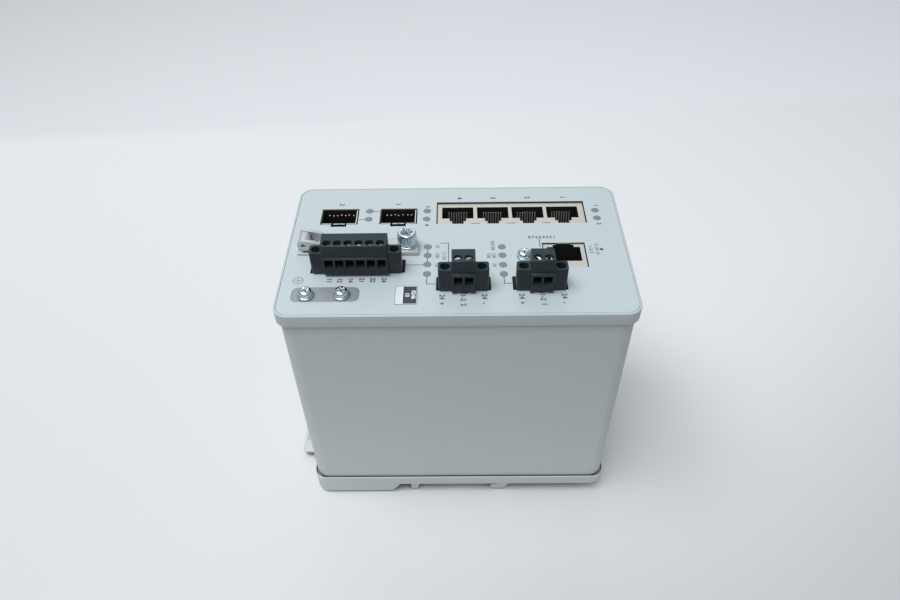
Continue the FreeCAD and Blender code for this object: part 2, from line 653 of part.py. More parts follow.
def thumbscrew():
    """Captive knurled screw: grip, collar, shank through the door and a retaining ring below it."""
    z = PANEL_Z
    x, y = THUMB_X, THUMB_Y
    top = z + 8.1
    parts = [
        knurled(x, y, z + 3.0, z + 7.5, 3.65, 24, 0.25),
        taper(x, y, z + 7.5, top, 3.5, 3.15),
        cyl(x, y, z + 2.3, z + 3.0, 3.7, FINE_SIDES),
        cyl(x, y, z - 2.4, z + 2.3, 1.7),
        cyl(x, y, z + 0.05, z + 0.6, 2.4),
    ]
    save("thumbscrew", cut(fuse(parts), [cross_recess(x, y, top, 2.5, 1.4)]))
    socket = cyl(x, y, z - 5.0, z - 0.35, 2.95, FINE_SIDES)
    save("screw_socket", socket.cut(cyl(x, y, z - 4.2, z + 1, 2.3)))


def card_socket():
    body = box(-50.5, -23.7, -4.4, 0.4, PANEL_Z - 29.0, PANEL_Z - 2.5)
    save("sd_socket", body.cut(box(-49.2, -25.0, -3.1, -0.8, PANEL_Z - 26.0, PANEL_Z)))


# ---------------------------------------------------------------- ground screws and button
def ground_and_button():
    plate_z = PANEL_Z - 0.1
    seat = plate_z + 0.9
    save("ground_washers", group([washer(x, GROUND_Y, plate_z, seat, 2.95, 1.7) for x in GROUND_XS]))
    save("ground_screws", group([pan_screw(x, GROUND_Y, seat, 2.6, 2.2, 1.6, 7.0) for x in GROUND_XS]))

    x, y = BUTTON
    cap = [cyl(x, y, 104.6, 107.3, 1.5), cyl(x, y, 104.6, 105.2, 2.0), cyl(x, y, 107.0, 109.0, 0.55)]
    save("setup_button", fuse(cap))
    case = box(x - 3.0, x + 3.0, y - 3.0, y + 3.0, 100.2, 106.3)
    save("button_switch", cut(case, [cyl(x, y, 103.9, 105.6, 2.1), cyl(x, y, 105.0, 107.0, 1.6)]))


# ---------------------------------------------------------------- boards inside
def boards():
    """Boards, their largest components and the frame that carries them."""
    notch = box(50.5, 61.0, 11.0, 14.0, 98.0, 107.0)
    save("main_board", box(-58.0, 60.0, 11.5, 13.0, 22.0, 106.0).cut(notch))
    notch = box(-61.0, -10.0, 1.0, 3.0, 100.5, 107.0)
    save("io_board", box(-58.0, 60.0, 1.1, 2.6, 30.0, 106.0).cut(notch))
    plan = [(-60.0, -30.5), (42.0, -30.5), (42.0, -13.8), (24.0, -13.8), (24.0, -5.2), (-60.0, -5.2)]
    terminals = prism([(x, y, 99.9) for x, y in plan], (0, 0, 1.6))
    save("terminal_board", cut(terminals, header_pins(0.45, 99.0, 102.0)))
    save("button_board", box(50.5, 60.0, -9.0, 0.8, 98.6, 100.2))
    save("power_board", box(-58.0, 58.0, -32.0, -30.8, 22.0, 98.0))
    core = [box(-20.0, 2.0, -30.8, -14.0, 60.0, 80.0), box(10.0, 26.0, -30.8, -20.0, 62.0, 76.0)]
    save("power_transformers", group(core))
    cans = []
    for x in (-46.0, -33.0):
        can = cyl(0, 0, 0, 14.0, 5.0)
        can.rotate(V(0, 0, 0), V(1, 0, 0), -90)
        can.translate(V(x, -30.8, 68.0))
        cans.append(can)
    save("power_capacitors", group(cans))
    save("switch_chip", box(-14.0, 14.0, 13.0, 15.2, 40.0, 68.0))
    fins = [box(-14.5, 14.5, 15.2, 17.2, 38.0, 70.0)]
    fins += [box(-14.5 + 6.75 * i, -12.5 + 6.75 * i, 17.2, 26.0, 38.0, 70.0) for i in range(5)]
    save("heat_spreader", fuse(fins))
    frame = [box(-58.0, 60.0, -34.0, 30.0, 20.0, 22.0)]
    frame.append(box(-30.0, 30.0, -20.0, 24.0, 19.0, 23.0))
    save("board_frame", cut(frame[0], frame[1:]))
    posts = [box(x - 2.0, x + 2.0, 2.6, 11.5, 34.0, 38.0) for x in (-50.0, 50.0)]
    save("io_board_posts", group(posts))


housing()
light_pipes()
rear_tray()
tray_posts()
din_latch()
terminal_blocks()
modular_jacks()
sfp_cages()
usb_socket()
card_door()
thumbscrew()
card_socket()
ground_and_button()
boards()
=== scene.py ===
# %% [markdown]
# # A DIN rail Ethernet switch
# The object is a shallow metal box that hangs on a 35 mm rail in a control cabinet. Its front
# carries modular jacks, two module cages, screw-terminal plugs, status lamps and a small hinged
# door. Here it lies on its back, with the front facing up. The engineering model is loaded first,
# as a fixed frame, and everything in this script is a finish on it or a finer piece that stands
# for one of its parts. Measures are in metres, and most are written as a number times `MM`.

import json
import math
import random

import bmesh
import bpy
from mathutils import Matrix, Vector


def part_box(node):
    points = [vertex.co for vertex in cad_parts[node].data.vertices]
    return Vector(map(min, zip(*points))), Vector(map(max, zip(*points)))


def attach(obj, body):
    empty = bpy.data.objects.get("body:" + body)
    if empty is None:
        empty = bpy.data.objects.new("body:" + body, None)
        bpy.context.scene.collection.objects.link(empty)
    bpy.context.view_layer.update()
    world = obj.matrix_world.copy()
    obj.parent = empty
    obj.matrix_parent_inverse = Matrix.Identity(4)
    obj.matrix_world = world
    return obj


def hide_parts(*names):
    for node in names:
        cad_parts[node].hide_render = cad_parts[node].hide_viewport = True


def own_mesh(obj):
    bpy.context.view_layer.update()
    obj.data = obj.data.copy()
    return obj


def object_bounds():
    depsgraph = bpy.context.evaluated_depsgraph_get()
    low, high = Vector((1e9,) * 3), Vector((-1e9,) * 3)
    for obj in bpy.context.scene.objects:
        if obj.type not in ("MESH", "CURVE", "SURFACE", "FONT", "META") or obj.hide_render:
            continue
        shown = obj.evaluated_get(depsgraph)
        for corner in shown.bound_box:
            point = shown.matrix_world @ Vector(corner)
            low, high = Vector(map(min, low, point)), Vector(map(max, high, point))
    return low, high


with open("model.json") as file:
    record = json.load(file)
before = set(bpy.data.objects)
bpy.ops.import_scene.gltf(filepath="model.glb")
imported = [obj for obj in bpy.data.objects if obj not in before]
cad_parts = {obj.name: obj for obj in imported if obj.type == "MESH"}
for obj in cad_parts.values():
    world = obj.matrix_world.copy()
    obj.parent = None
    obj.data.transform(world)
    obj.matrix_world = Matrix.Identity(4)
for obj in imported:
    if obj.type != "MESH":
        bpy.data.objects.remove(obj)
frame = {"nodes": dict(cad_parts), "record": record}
cad_low, cad_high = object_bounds()
MM = 0.001
scene = bpy.context.scene
print("loaded", len(frame["nodes"]), "nodes; box", [round(v / MM, 1) for v in cad_high - cad_low], "mm")

# %% [markdown]
# ## Where things are
# Most places come from the frame, so nothing has to be measured twice. The printed marks, the
# floor's tones, the lamp and the camera have typed-in places. Some nodes hold several solids,
# such as the fourteen lamp windows, and `solids` gives the corners of each: it merges the loose
# triangles of a copy and walks from face to face.

# %% Places read from the frame
def solids(node):
    """Corners (low, high) of each separate solid of a CAD node."""
    mesh = bmesh.new()
    mesh.from_mesh(frame["nodes"][node].data)
    bmesh.ops.remove_doubles(mesh, verts=mesh.verts, dist=0.001 * MM)
    left = set(mesh.verts)
    found = []
    while left:
        queue, island = [left.pop()], []
        while queue:
            vert = queue.pop()
            island.append(vert.co.copy())
            for edge in vert.link_edges:
                other = edge.other_vert(vert)
                if other in left:
                    left.remove(other)
                    queue.append(other)
        low = Vector([min(co[i] for co in island) for i in range(3)])
        high = Vector([max(co[i] for co in island) for i in range(3)])
        found.append((low, high))
    mesh.free()
    return sorted(found, key=lambda pair: (round(pair[0].x, 5), round(pair[0].y, 5)))


BEZEL_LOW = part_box("front_bezel")[0]
FILM_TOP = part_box("front_overlay")[1].z


def on_panel(x, y, z=0.0):
    """A point of the front, in millimetres from the bezel's low corner and from the film's top."""
    return Vector((BEZEL_LOW.x + x * MM, BEZEL_LOW.y + y * MM, FILM_TOP + z * MM))


print("lamps", len(solids("light_pipes")), "front at z", round(FILM_TOP / MM, 2), "mm")

# %% [markdown]
# ## Adding a piece
# A finished piece is an object at the origin whose mesh holds its place. `add_piece` makes one,
# gives it a material and lets it ride on a body, so that it moves with the door or the latch. It
# also hides the engineering parts that the piece stands for.

# %% Adding a finished piece
def add_piece(name, mesh, material, body, replaced=()):
    piece = bpy.data.objects.new(name, mesh)
    scene.collection.objects.link(piece)
    mesh.materials.clear()
    mesh.materials.append(material)
    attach(piece, body)
    if replaced:
        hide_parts(*replaced)
    return piece


def mesh_from(bm, name, smooth_angle=30):
    """Turns a bmesh into a mesh with outward faces, smooth except at its sharp edges."""
    bmesh.ops.recalc_face_normals(bm, faces=bm.faces)
    for face in bm.faces:
        face.smooth = True
    limit = math.radians(smooth_angle)
    for edge in bm.edges:
        edge.smooth = len(edge.link_faces) == 2 and edge.calc_face_angle() < limit
    mesh = bpy.data.meshes.new(name)
    bm.to_mesh(mesh)
    bm.free()
    return mesh


print("pieces can be added")

# %% [markdown]
# ## A lathe and a box
# `lathe` turns a profile round the Z axis, the way a screw is turned on a real lathe, and its
# radius may be shaped by a function of the angle, which makes a knurl. The Spin tool would do for
# plain rounds, but it can't shape the radius. Both ends of a profile lie on the axis, so the
# turned piece is closed.

# %% Lathe and box
def lathe(profile, sides=48, shape=None):
    """Spins (radius, z) pairs in millimetres round Z; both ends of the profile lie on the axis."""
    bm = bmesh.new()
    rings = []
    for radius, z in profile:
        if radius == 0:
            rings.append([bm.verts.new((0, 0, z * MM))])
            continue
        ring = []
        for i in range(sides):
            a = 2 * math.pi * i / sides
            r = radius * (shape(a, z) if shape else 1.0)
            ring.append(bm.verts.new((r * MM * math.cos(a), r * MM * math.sin(a), z * MM)))
        rings.append(ring)
    for low, high in zip(rings, rings[1:]):
        for i in range(sides):
            j = (i + 1) % sides
            corners = [low[i % len(low)], low[j % len(low)], high[j % len(high)], high[i % len(high)]]
            bm.faces.new(list(dict.fromkeys(corners)))
    return bm


def add_box(bm, low, high):
    """Adds a closed box to a bmesh."""
    centre, size = (low + high) / 2, high - low
    place = Matrix.Translation(centre) @ Matrix.Diagonal((*size, 1.0))
    bmesh.ops.create_cube(bm, size=1.0, matrix=place)


print("lathe ready")

# %% [markdown]
# ## Softened copies
# The frame's meshes are loose triangles, so a copy is merged first. Then its flat stretches are
# joined into single faces, and a bevel on the sharp edges gives them the small radius that every
# real edge has. It catches a thin line of light, which tells the eye how large the object is.

# %% Softened copies
def softened_copy(node, round_off):
    """A merged copy of a CAD node's mesh: flat facets joined, curves smooth, sharp edges rounded."""
    bm = bmesh.new()
    bm.from_mesh(frame["nodes"][node].data)
    bmesh.ops.remove_doubles(bm, verts=bm.verts, dist=0.002 * MM)
    bmesh.ops.dissolve_limit(bm, angle_limit=math.radians(1.0), verts=bm.verts, edges=bm.edges)
    if round_off:
        sharp = [e for e in bm.edges if len(e.link_faces) == 2 and e.calc_face_angle() > math.radians(50)]
        bmesh.ops.bevel(
            bm, geom=sharp, offset=round_off * MM, offset_type="OFFSET", segments=2, profile=0.5,
            affect="EDGES", clamp_overlap=True,
        )
    return mesh_from(bm, node + "_soft")


def apply_modifiers(piece):
    """Replaces a piece's mesh by its evaluated one and drops the modifiers."""
    graph = bpy.context.evaluated_depsgraph_get()
    finished = bpy.data.meshes.new_from_object(piece.evaluated_get(graph))
    piece.modifiers.clear()
    piece.data = finished
    return finished


print("mesh helpers ready")

# %% [markdown]
# ## Finishes shared by many parts
# Three effects turn up on almost every part, so each is a node group. The first rounds sharp edges
# a little in the shading and also tells where an edge is, so that a paler line can be set there.
# That line is partly wear and partly a painted highlight, the glint of a rounded edge; on the tray
# and the bezel it is mostly a painted highlight. Whether the real line is worn paint or only the
# glint of a rounded edge isn't known. The second is a fine grain: the orange peel of powder coat,
# the spark texture of a moulding tool or the tooth of a printed film, all at different scales. The
# third darkens narrow gaps more than the light alone does. It is painted shade, a stand-in for
# shadow made with the Ambient Occlusion node. The grain reads Object coordinates, so it stays on a
# piece when it moves.

# %% New node groups
def new_group(name, inputs, outputs):
    group = bpy.data.node_groups.new(name, "ShaderNodeTree")
    for socket, kind, default in inputs:
        made = group.interface.new_socket(name=socket, in_out="INPUT", socket_type=kind)
        made.default_value = default
    for socket, kind in outputs:
        group.interface.new_socket(name=socket, in_out="OUTPUT", socket_type=kind)
    return group, group.nodes.new("NodeGroupInput"), group.nodes.new("NodeGroupOutput")


print("groups can be made")

# %% Edge wear and painted highlight
def make_edge_group():
    """Rounded-edge normal, and a mask that is 1 on the edges that get the paler colour."""
    group, given, result = new_group(
        "edge_wear_and_highlight",
        [("Radius", "NodeSocketFloat", 0.0003), ("Wear", "NodeSocketFloat", 0.5)],
        [("Normal", "NodeSocketVector"), ("Mask", "NodeSocketFloat")],
    )
    nodes, links = group.nodes, group.links
    round_off = nodes.new("ShaderNodeBevel")
    round_off.samples = 6
    links.new(given.outputs["Radius"], round_off.inputs["Radius"])
    flat = nodes.new("ShaderNodeNewGeometry")
    dot = nodes.new("ShaderNodeVectorMath")
    dot.operation = "DOT_PRODUCT"
    links.new(round_off.outputs["Normal"], dot.inputs[0])
    links.new(flat.outputs["Normal"], dot.inputs[1])
    bend = nodes.new("ShaderNodeMapRange")
    bend.inputs["From Min"].default_value = 0.995
    bend.inputs["From Max"].default_value = 0.86
    links.new(dot.outputs["Value"], bend.inputs["Value"])
    where = nodes.new("ShaderNodeTexCoord")
    patches = nodes.new("ShaderNodeTexNoise")
    patches.inputs["Scale"].default_value = 900.0
    patches.inputs["Detail"].default_value = 3.0
    links.new(where.outputs["Object"], patches.inputs["Vector"])
    broken = nodes.new("ShaderNodeMath")
    broken.operation = "MULTIPLY"
    links.new(bend.outputs["Result"], broken.inputs[0])
    links.new(patches.outputs["Fac"], broken.inputs[1])
    # Strength of the paler edge line, which is partly wear and partly a painted highlight.
    amount = nodes.new("ShaderNodeMath")
    amount.operation = "MULTIPLY"
    amount.use_clamp = True
    links.new(broken.outputs["Value"], amount.inputs[0])
    links.new(given.outputs["Wear"], amount.inputs[1])
    links.new(round_off.outputs["Normal"], result.inputs["Normal"])
    links.new(amount.outputs["Value"], result.inputs["Mask"])
    return group


EDGES = make_edge_group()
print("group", EDGES.name)

# %% Surface grain
def make_grain_group():
    """Fine height grain, and a broad cloud for uneven colour and gloss."""
    group, given, result = new_group(
        "surface_grain",
        [("Scale", "NodeSocketFloat", 2000.0), ("Stretch", "NodeSocketVector", (1.0, 1.0, 1.0))],
        [("Height", "NodeSocketFloat"), ("Cloud", "NodeSocketFloat")],
    )
    nodes, links = group.nodes, group.links
    where = nodes.new("ShaderNodeTexCoord")
    pull = nodes.new("ShaderNodeVectorMath")
    pull.operation = "MULTIPLY"
    links.new(where.outputs["Object"], pull.inputs[0])
    links.new(given.outputs["Stretch"], pull.inputs[1])
    fine = nodes.new("ShaderNodeTexNoise")
    fine.inputs["Detail"].default_value = 4.0
    fine.inputs["Roughness"].default_value = 0.6
    links.new(pull.outputs["Vector"], fine.inputs["Vector"])
    links.new(given.outputs["Scale"], fine.inputs["Scale"])
    broad = nodes.new("ShaderNodeTexNoise")
    broad.inputs["Scale"].default_value = 28.0
    broad.inputs["Detail"].default_value = 3.0
    links.new(where.outputs["Object"], broad.inputs["Vector"])
    links.new(fine.outputs["Fac"], result.inputs["Height"])
    links.new(broad.outputs["Fac"], result.inputs["Cloud"])
    return group


GRAIN = make_grain_group()
print("group", GRAIN.name)

# %% Painted shade in crevices
def make_crevice_group():
    """A factor of 1 in the open that falls towards Floor inside narrow gaps, for painted shade."""
    group, given, result = new_group(
        "painted_crevice_shade",
        [
            ("Reach", "NodeSocketFloat", 0.0015),
            ("Floor", "NodeSocketFloat", 0.35),
            ("Open", "NodeSocketFloat", 0.75),
        ],
        [("Factor", "NodeSocketFloat")],
    )
    nodes, links = group.nodes, group.links
    occlusion = nodes.new("ShaderNodeAmbientOcclusion")
    occlusion.samples = 6
    links.new(given.outputs["Reach"], occlusion.inputs["Distance"])
    depth = nodes.new("ShaderNodeMapRange")
    depth.inputs["From Min"].default_value = 0.15
    links.new(given.outputs["Open"], depth.inputs["From Max"])
    links.new(occlusion.outputs["AO"], depth.inputs["Value"])
    links.new(given.outputs["Floor"], depth.inputs["To Min"])
    links.new(depth.outputs["Result"], result.inputs["Factor"])
    return group


CREVICE = make_crevice_group()
print("group", CREVICE.name)

# %% [markdown]
# ## One recipe for paint, plastic and metal
# Most parts differ only in numbers, so one function builds their material: a base colour that
# drifts slightly over the surface, a paler colour on the edges, roughness that follows the grain,
# and a bump from the same grain on top of the rounded-edge normal. Numbers that are the same all
# over are set on the shader itself.

# %% Small node helpers
def group_node(nodes, group, **values):
    node = nodes.new("ShaderNodeGroup")
    node.node_tree = group
    for name, value in values.items():
        node.inputs[name].default_value = value
    return node


def mix_colours(nodes, links, factor, first, second):
    mix = nodes.new("ShaderNodeMix")
    mix.data_type = "RGBA"
    links.new(factor, mix.inputs["Factor"])
    for socket, value in ((mix.inputs["A"], first), (mix.inputs["B"], second)):
        if hasattr(value, "links"):
            links.new(value, socket)
        else:
            socket.default_value = (*value, 1.0)
    return mix.outputs["Result"]


def spread(nodes, links, factor, low, high):
    """Maps a mask from 0-1 to low-high."""
    remap = nodes.new("ShaderNodeMapRange")
    remap.inputs["To Min"].default_value = low
    remap.inputs["To Max"].default_value = high
    links.new(factor, remap.inputs["Value"])
    return remap.outputs["Result"]


print("node helpers ready")

# %% The material recipe
def finish(name, colour, rough, metallic=0.0, drift=0.06, rubbed=None, wear=0.5, edge=0.25,
           grain=2500.0, bump=0.05, stretch=(1.0, 1.0, 1.0), shine=0.5, coat=0.0, gap=0.35, reach=1.5,
           open_at=0.75, paint=None):
    """Builds a material. `edge` is the rounding in millimetres and `paint` adds a colour layer.

    `gap` is how much of the colour is left inside gaps narrower than `reach` millimetres, which is
    painted shade. The paler edge colour is partly wear and partly a painted highlight.
    """
    material = bpy.data.materials.new(name)
    material.use_nodes = True
    nodes, links = material.node_tree.nodes, material.node_tree.links
    shader = nodes["Principled BSDF"]
    shader.inputs["Metallic"].default_value = metallic
    shader.inputs["Specular IOR Level"].default_value = shine
    shader.inputs["Coat Weight"].default_value = coat
    shader.inputs["Coat Roughness"].default_value = 0.2
    edges = group_node(nodes, EDGES, Radius=edge * MM, Wear=wear)
    texture = group_node(nodes, GRAIN, Scale=grain, Stretch=stretch)
    dark = [c * (1 - drift) for c in colour]
    light = [min(1.0, c * (1 + drift)) for c in colour]
    base = mix_colours(nodes, links, texture.outputs["Cloud"], dark, light)
    if paint:
        base = paint(nodes, links, base)
    # Paler edges: partly wear, partly a painted highlight.
    pale_edge_colour = rubbed or [min(1.0, c * 1.35 + 0.02) for c in colour]
    base = mix_colours(nodes, links, edges.outputs["Mask"], base, pale_edge_colour)
    # Painted shade inside narrow gaps.
    if gap < 1.0:
        crevice = group_node(nodes, CREVICE, Reach=reach * MM, Floor=gap, Open=open_at)
        base = mix_colours(nodes, links, crevice.outputs["Factor"], [c * 0.04 for c in colour], base)
    links.new(base, shader.inputs["Base Color"])
    uneven = nodes.new("ShaderNodeMath")
    uneven.operation = "ADD"
    links.new(texture.outputs["Cloud"], uneven.inputs[0])
    links.new(texture.outputs["Height"], uneven.inputs[1])
    gloss = spread(nodes, links, uneven.outputs["Value"], rough * 0.8, rough * 1.0)
    links.new(gloss, shader.inputs["Roughness"])
    relief = nodes.new("ShaderNodeBump")
    relief.inputs["Strength"].default_value = bump
    relief.inputs["Distance"].default_value = 0.1 * MM
    links.new(texture.outputs["Height"], relief.inputs["Height"])
    links.new(edges.outputs["Normal"], relief.inputs["Normal"])
    links.new(relief.outputs["Normal"], shader.inputs["Normal"])
    return material


print("recipe ready")

# %% [markdown]
# ## The finishes of this switch
# Housing and tray have a pale grey satin powder coat with a fine texture. The front is a printed
# film, slightly bluer and smoother. Plugs are a dark grey moulding. Screws are zinc plated, with
# the faint blue that clear passivation leaves. Jack shields are tinned sheet, warmer than zinc.
# The bezel's sides are written darker than the body, though the two look like one paint: that is
# a tone set for this scene's light, like the layers in the next cells.

# %% Colours
BODY_GREY = (0.555, 0.602, 0.602)
RIM_GREY = (0.47, 0.515, 0.515)
# Paler edge colours of the bezel and the tray, for painted highlights on their rims.
BEZEL_EDGE_HIGHLIGHT = (0.72, 0.77, 0.78)
TRAY_EDGE_HIGHLIGHT = (0.86, 0.90, 0.91)
FILM_GREY = (0.50, 0.576, 0.605)
TONED_PLASTIC = (0.016, 0.031, 0.038)
UNLIT_METAL = (0.036, 0.034, 0.033)
print("body", BODY_GREY, "film", FILM_GREY)

# %% [markdown]
# ## Layers that stand in for light
# The real coat, mouldings and sheet are taken to be even in colour. The lamp and the world don't
# light every face as wanted, so some materials are toned by the direction of a face or its place.
# Each layer is a function that takes the base colour and returns a changed one. This is quick, but
# it has a price: the tone belongs to the colour, so it stays, and looks wrong, when the light is
# changed. To be free of it, leave out the `paint` argument of the body, bezel, plugs, cages and
# jack shield, and give every finish a `gap` of 1.0, which leaves narrow gaps as they are. Only the
# film's mottle and the sticker's fields are meant as parts of the surface itself.

# %% Layers by direction
def parts_of(nodes, links, output):
    """The X, Y and Z of an output of Texture Coordinate, which is Object or Normal here."""
    where = nodes.new("ShaderNodeTexCoord")
    axes = nodes.new("ShaderNodeSeparateXYZ")
    links.new(where.outputs[output], axes.inputs["Vector"])
    return axes.outputs


def facing_front(nodes, links):
    """1 on faces that look forward, towards +Z, and 0 on the sides."""
    flat = nodes.new("ShaderNodeMapRange")
    flat.inputs["From Min"].default_value = 0.2
    flat.inputs["From Max"].default_value = 0.75
    links.new(parts_of(nodes, links, "Normal")["Z"], flat.inputs["Value"])
    return flat.outputs["Result"]


def pale_where_flat(nodes, links, base):
    """Tones the bezel's flat front to the film's colour. It stands in for light."""
    return mix_colours(nodes, links, facing_front(nodes, links), base, FILM_GREY)


def toned_where_flat(nodes, links, base):
    """Tones up the faces of the mouldings that look forward. It stands in for light."""
    return mix_colours(nodes, links, facing_front(nodes, links), base, TONED_PLASTIC)


def darker_in_front(nodes, links, base):
    """Tones the body down towards the bezel, as if less light came there."""
    ramp = nodes.new("ShaderNodeMapRange")
    ramp.inputs["From Max"].default_value = BEZEL_LOW.z
    links.new(parts_of(nodes, links, "Object")["Z"], ramp.inputs["Value"])
    return mix_colours(nodes, links, ramp.outputs["Result"], base, [c * 0.86 for c in BODY_GREY])


print("layers by direction ready")

# %% Layers by place
def film_print(nodes, links, base):
    """The film's face is very slightly mottled, as a silk-screened matt ink is."""
    where = nodes.new("ShaderNodeTexCoord")
    mottle = nodes.new("ShaderNodeTexNoise")
    mottle.inputs["Scale"].default_value = 420.0
    mottle.inputs["Detail"].default_value = 2.0
    links.new(where.outputs["Object"], mottle.inputs["Vector"])
    faint = spread(nodes, links, mottle.outputs["Fac"], 0.0, 0.10)
    return mix_colours(nodes, links, faint, base, [c * 0.9 for c in FILM_GREY])


def where_all(nodes, links, tests):
    """1 where every test (socket, operation, limit) holds, and 0 elsewhere."""
    mask = None
    for socket, operation, limit in tests:
        step = nodes.new("ShaderNodeMath")
        step.operation = operation
        links.new(socket, step.inputs[0])
        step.inputs[1].default_value = limit
        if mask is None:
            mask = step.outputs["Value"]
            continue
        both = nodes.new("ShaderNodeMath")
        both.operation = "MULTIPLY"
        links.new(mask, both.inputs[0])
        links.new(step.outputs["Value"], both.inputs[1])
        mask = both.outputs["Value"]
    return mask


def bright_edges(low, high, depth):
    """Sheet that is shown bright on its upper edge only. The dark rest stands in for missing light.

    The bright part starts a little inside the low X and high Y sides of the box (low, high), and
    reaches `depth` millimetres below the film.
    """
    def paint(nodes, links, base):
        place = parts_of(nodes, links, "Object")
        clean = where_all(nodes, links, [
            (parts_of(nodes, links, "Normal")["Z"], "GREATER_THAN", 0.4),
            (place["Z"], "GREATER_THAN", FILM_TOP - depth * MM),
            (place["X"], "GREATER_THAN", low.x + 0.5 * MM),
            (place["Y"], "LESS_THAN", high.y - 0.8 * MM),
        ])
        return mix_colours(nodes, links, clean, UNLIT_METAL, base)
    return paint


print("layers by place ready")

# %% [markdown]
# ## The materials by slot
# The engineering model names a slot on each of its parts, such as body paint or zinc screw, and
# one table gives every slot its finish. A roughness near 0.25 reads as polished plating and one
# near 0.6 as a matt coat. A few parts share a slot but are toned differently, such as the cages
# and the headers, so a second table gives them a finish of their own. The darker zinc of the screws
# deep in the alarm plug is painted shade: it is written darker than the other screws, as if less
# light came there.

# %% Materials
FINISHES = {
    # Body: painted shade towards the bezel and in the gaps at the bezel and the tray.
    "body_paint": finish(
        "body_powder_coat", BODY_GREY, 0.6, drift=0.03, grain=2600.0, bump=0.10, gap=0.1, reach=6.0,
        open_at=0.985, paint=darker_in_front
    ),
    # Bezel: the flat front toned to the film's colour is painted light, and its pale edge line a painted
    # highlight.
    "bezel_paint": finish(
        "bezel_powder_coat", RIM_GREY, 0.5, drift=0.03, rubbed=BEZEL_EDGE_HIGHLIGHT, wear=1.2, edge=0.4, grain=2600.0,
        bump=0.08, paint=pale_where_flat
    ),
    # Tray: the bright rim line is a painted highlight, and its gaps get painted shade.
    "tray_metal": finish(
        "tray_powder_coat", BODY_GREY, 0.55, drift=0.04, rubbed=TRAY_EDGE_HIGHLIGHT, wear=2.6, edge=0.35,
        grain=2600.0, bump=0.10, gap=0.2
    ),
    "latch_steel": finish(
        "latch_zinc", (0.64, 0.67, 0.68), 0.42, metallic=0.5, grain=700.0, bump=0.03, stretch=(1.0, 9.0, 1.0)
    ),
    "spring_steel": finish(
        "contact_metal", (0.42, 0.405, 0.355), 0.3, metallic=0.6, edge=0.1, bump=0.01, gap=1.0
    ),
    "zinc_screw": finish(
        "zinc_plate", (0.66, 0.735, 0.80), 0.24, metallic=1.0, drift=0.12, edge=0.12, grain=1500.0, bump=0.03,
        gap=0.3
    ),
    "bare_metal": finish(
        "bare_pad", (0.30, 0.34, 0.365), 0.42, metallic=0.3, grain=900.0, bump=0.03, stretch=(1.0, 8.0, 1.0)
    ),
    # Plugs: the forward faces are toned up as a painted sheen, and the paler edges are wear and painted
    # highlight.
    "terminal_plastic": finish(
        "terminal_moulding", (0.0115, 0.0185, 0.0230), 0.42, drift=0.15, rubbed=(0.04, 0.055, 0.062),
        wear=0.4, edge=0.22, grain=3500.0, bump=0.07, shine=0.35, gap=1.0, paint=toned_where_flat
    ),
    "header_plastic": finish(
        "header_moulding", (0.0045, 0.006, 0.007), 0.5, drift=0.15, edge=0.15, grain=3500.0, bump=0.05,
        shine=0.2
    ),
    "pin_metal": finish("tinned_pin", (0.72, 0.70, 0.64), 0.3, metallic=1.0, edge=0.1),
    "jack_plastic": finish(
        "jack_moulding", (0.016, 0.017, 0.018), 0.5, drift=0.1, edge=0.12, grain=3000.0, shine=0.3
    ),
    "door_metal": finish(
        "door_casting", (0.56, 0.595, 0.605), 0.42, metallic=0.5, drift=0.08, edge=0.3, grain=1700.0,
        bump=0.05
    ),
    "lamp_lens": finish(
        "lamp_window", (0.185, 0.22, 0.245), 0.36, drift=0.05, edge=0.1, grain=4000.0, bump=0.01, gap=1.0
    ),
    "button_plastic": finish("button_moulding", (0.012, 0.012, 0.013), 0.5, shine=0.3),
    "circuit_board": finish("board_mask", (0.02, 0.14, 0.06), 0.35, coat=0.3),
    "component": finish("component_body", (0.03, 0.03, 0.032), 0.5),
    "frame_metal": finish("frame_sheet", (0.6, 0.62, 0.63), 0.4, metallic=0.9),
}

print(len(FINISHES), "finishes by slot")

# %% Finishes of single parts
# Zinc written darker for the screws deep in the alarm plug: painted shade.
SHADED_ZINC = finish("deep_screw_shaded_zinc", (0.16, 0.18, 0.20), 0.4, metallic=0.9, drift=0.2, edge=0.12, grain=1500.0)
COPPER = finish("copper_finger", (0.42, 0.33, 0.30), 0.35, metallic=0.7, drift=0.3, edge=0.05, gap=1.0)
NO_LIMIT = (Vector((-1, -1, -1)), Vector((1, 1, 1)))
FINISHES["jack_shield"] = finish(
    "tinned_shield", (0.60, 0.585, 0.53), 0.42, metallic=0.5, drift=0.05, edge=0.12, grain=1200.0, bump=0.02,
    gap=1.0, paint=bright_edges(*NO_LIMIT, 2.2)
)
OWN_FINISH = {node + "_header": FINISHES["header_plastic"] for node in ("alarm", "power_a", "power_b")}
OWN_FINISH |= {
    node: finish(
        node + "_tin", (0.56, 0.57, 0.56), 0.42, metallic=0.5, drift=0.05, edge=0.08, grain=1200.0, bump=0.02,
        gap=1.0, paint=bright_edges(*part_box(node), 1.6)
    )
    for node in ("sfp_cage_1", "sfp_cage_2")
}
FINISHES["panel_film"] = finish(
    "printed_film", FILM_GREY, 0.5, drift=0.015, edge=0.1, wear=0.2, grain=3200.0, bump=0.03, gap=1.0,
    paint=film_print
)
print("own finishes for", sorted(OWN_FINISH))

# %% [markdown]
# ## Inks
# The printing has four inks: grey for most marks, a darker one for the socket numbers, a paler one
# beside the lamps and white on the sticker. Silk-screen ink is matt, and its edges get neither wear
# nor a painted highlight here, so the recipe is called with almost no rounding and no paler edge.

# %% Inks
def ink(name, colour):
    return finish(name, colour, 0.55, drift=0.05, edge=0.02, wear=0.0, grain=3200.0, gap=1.0)


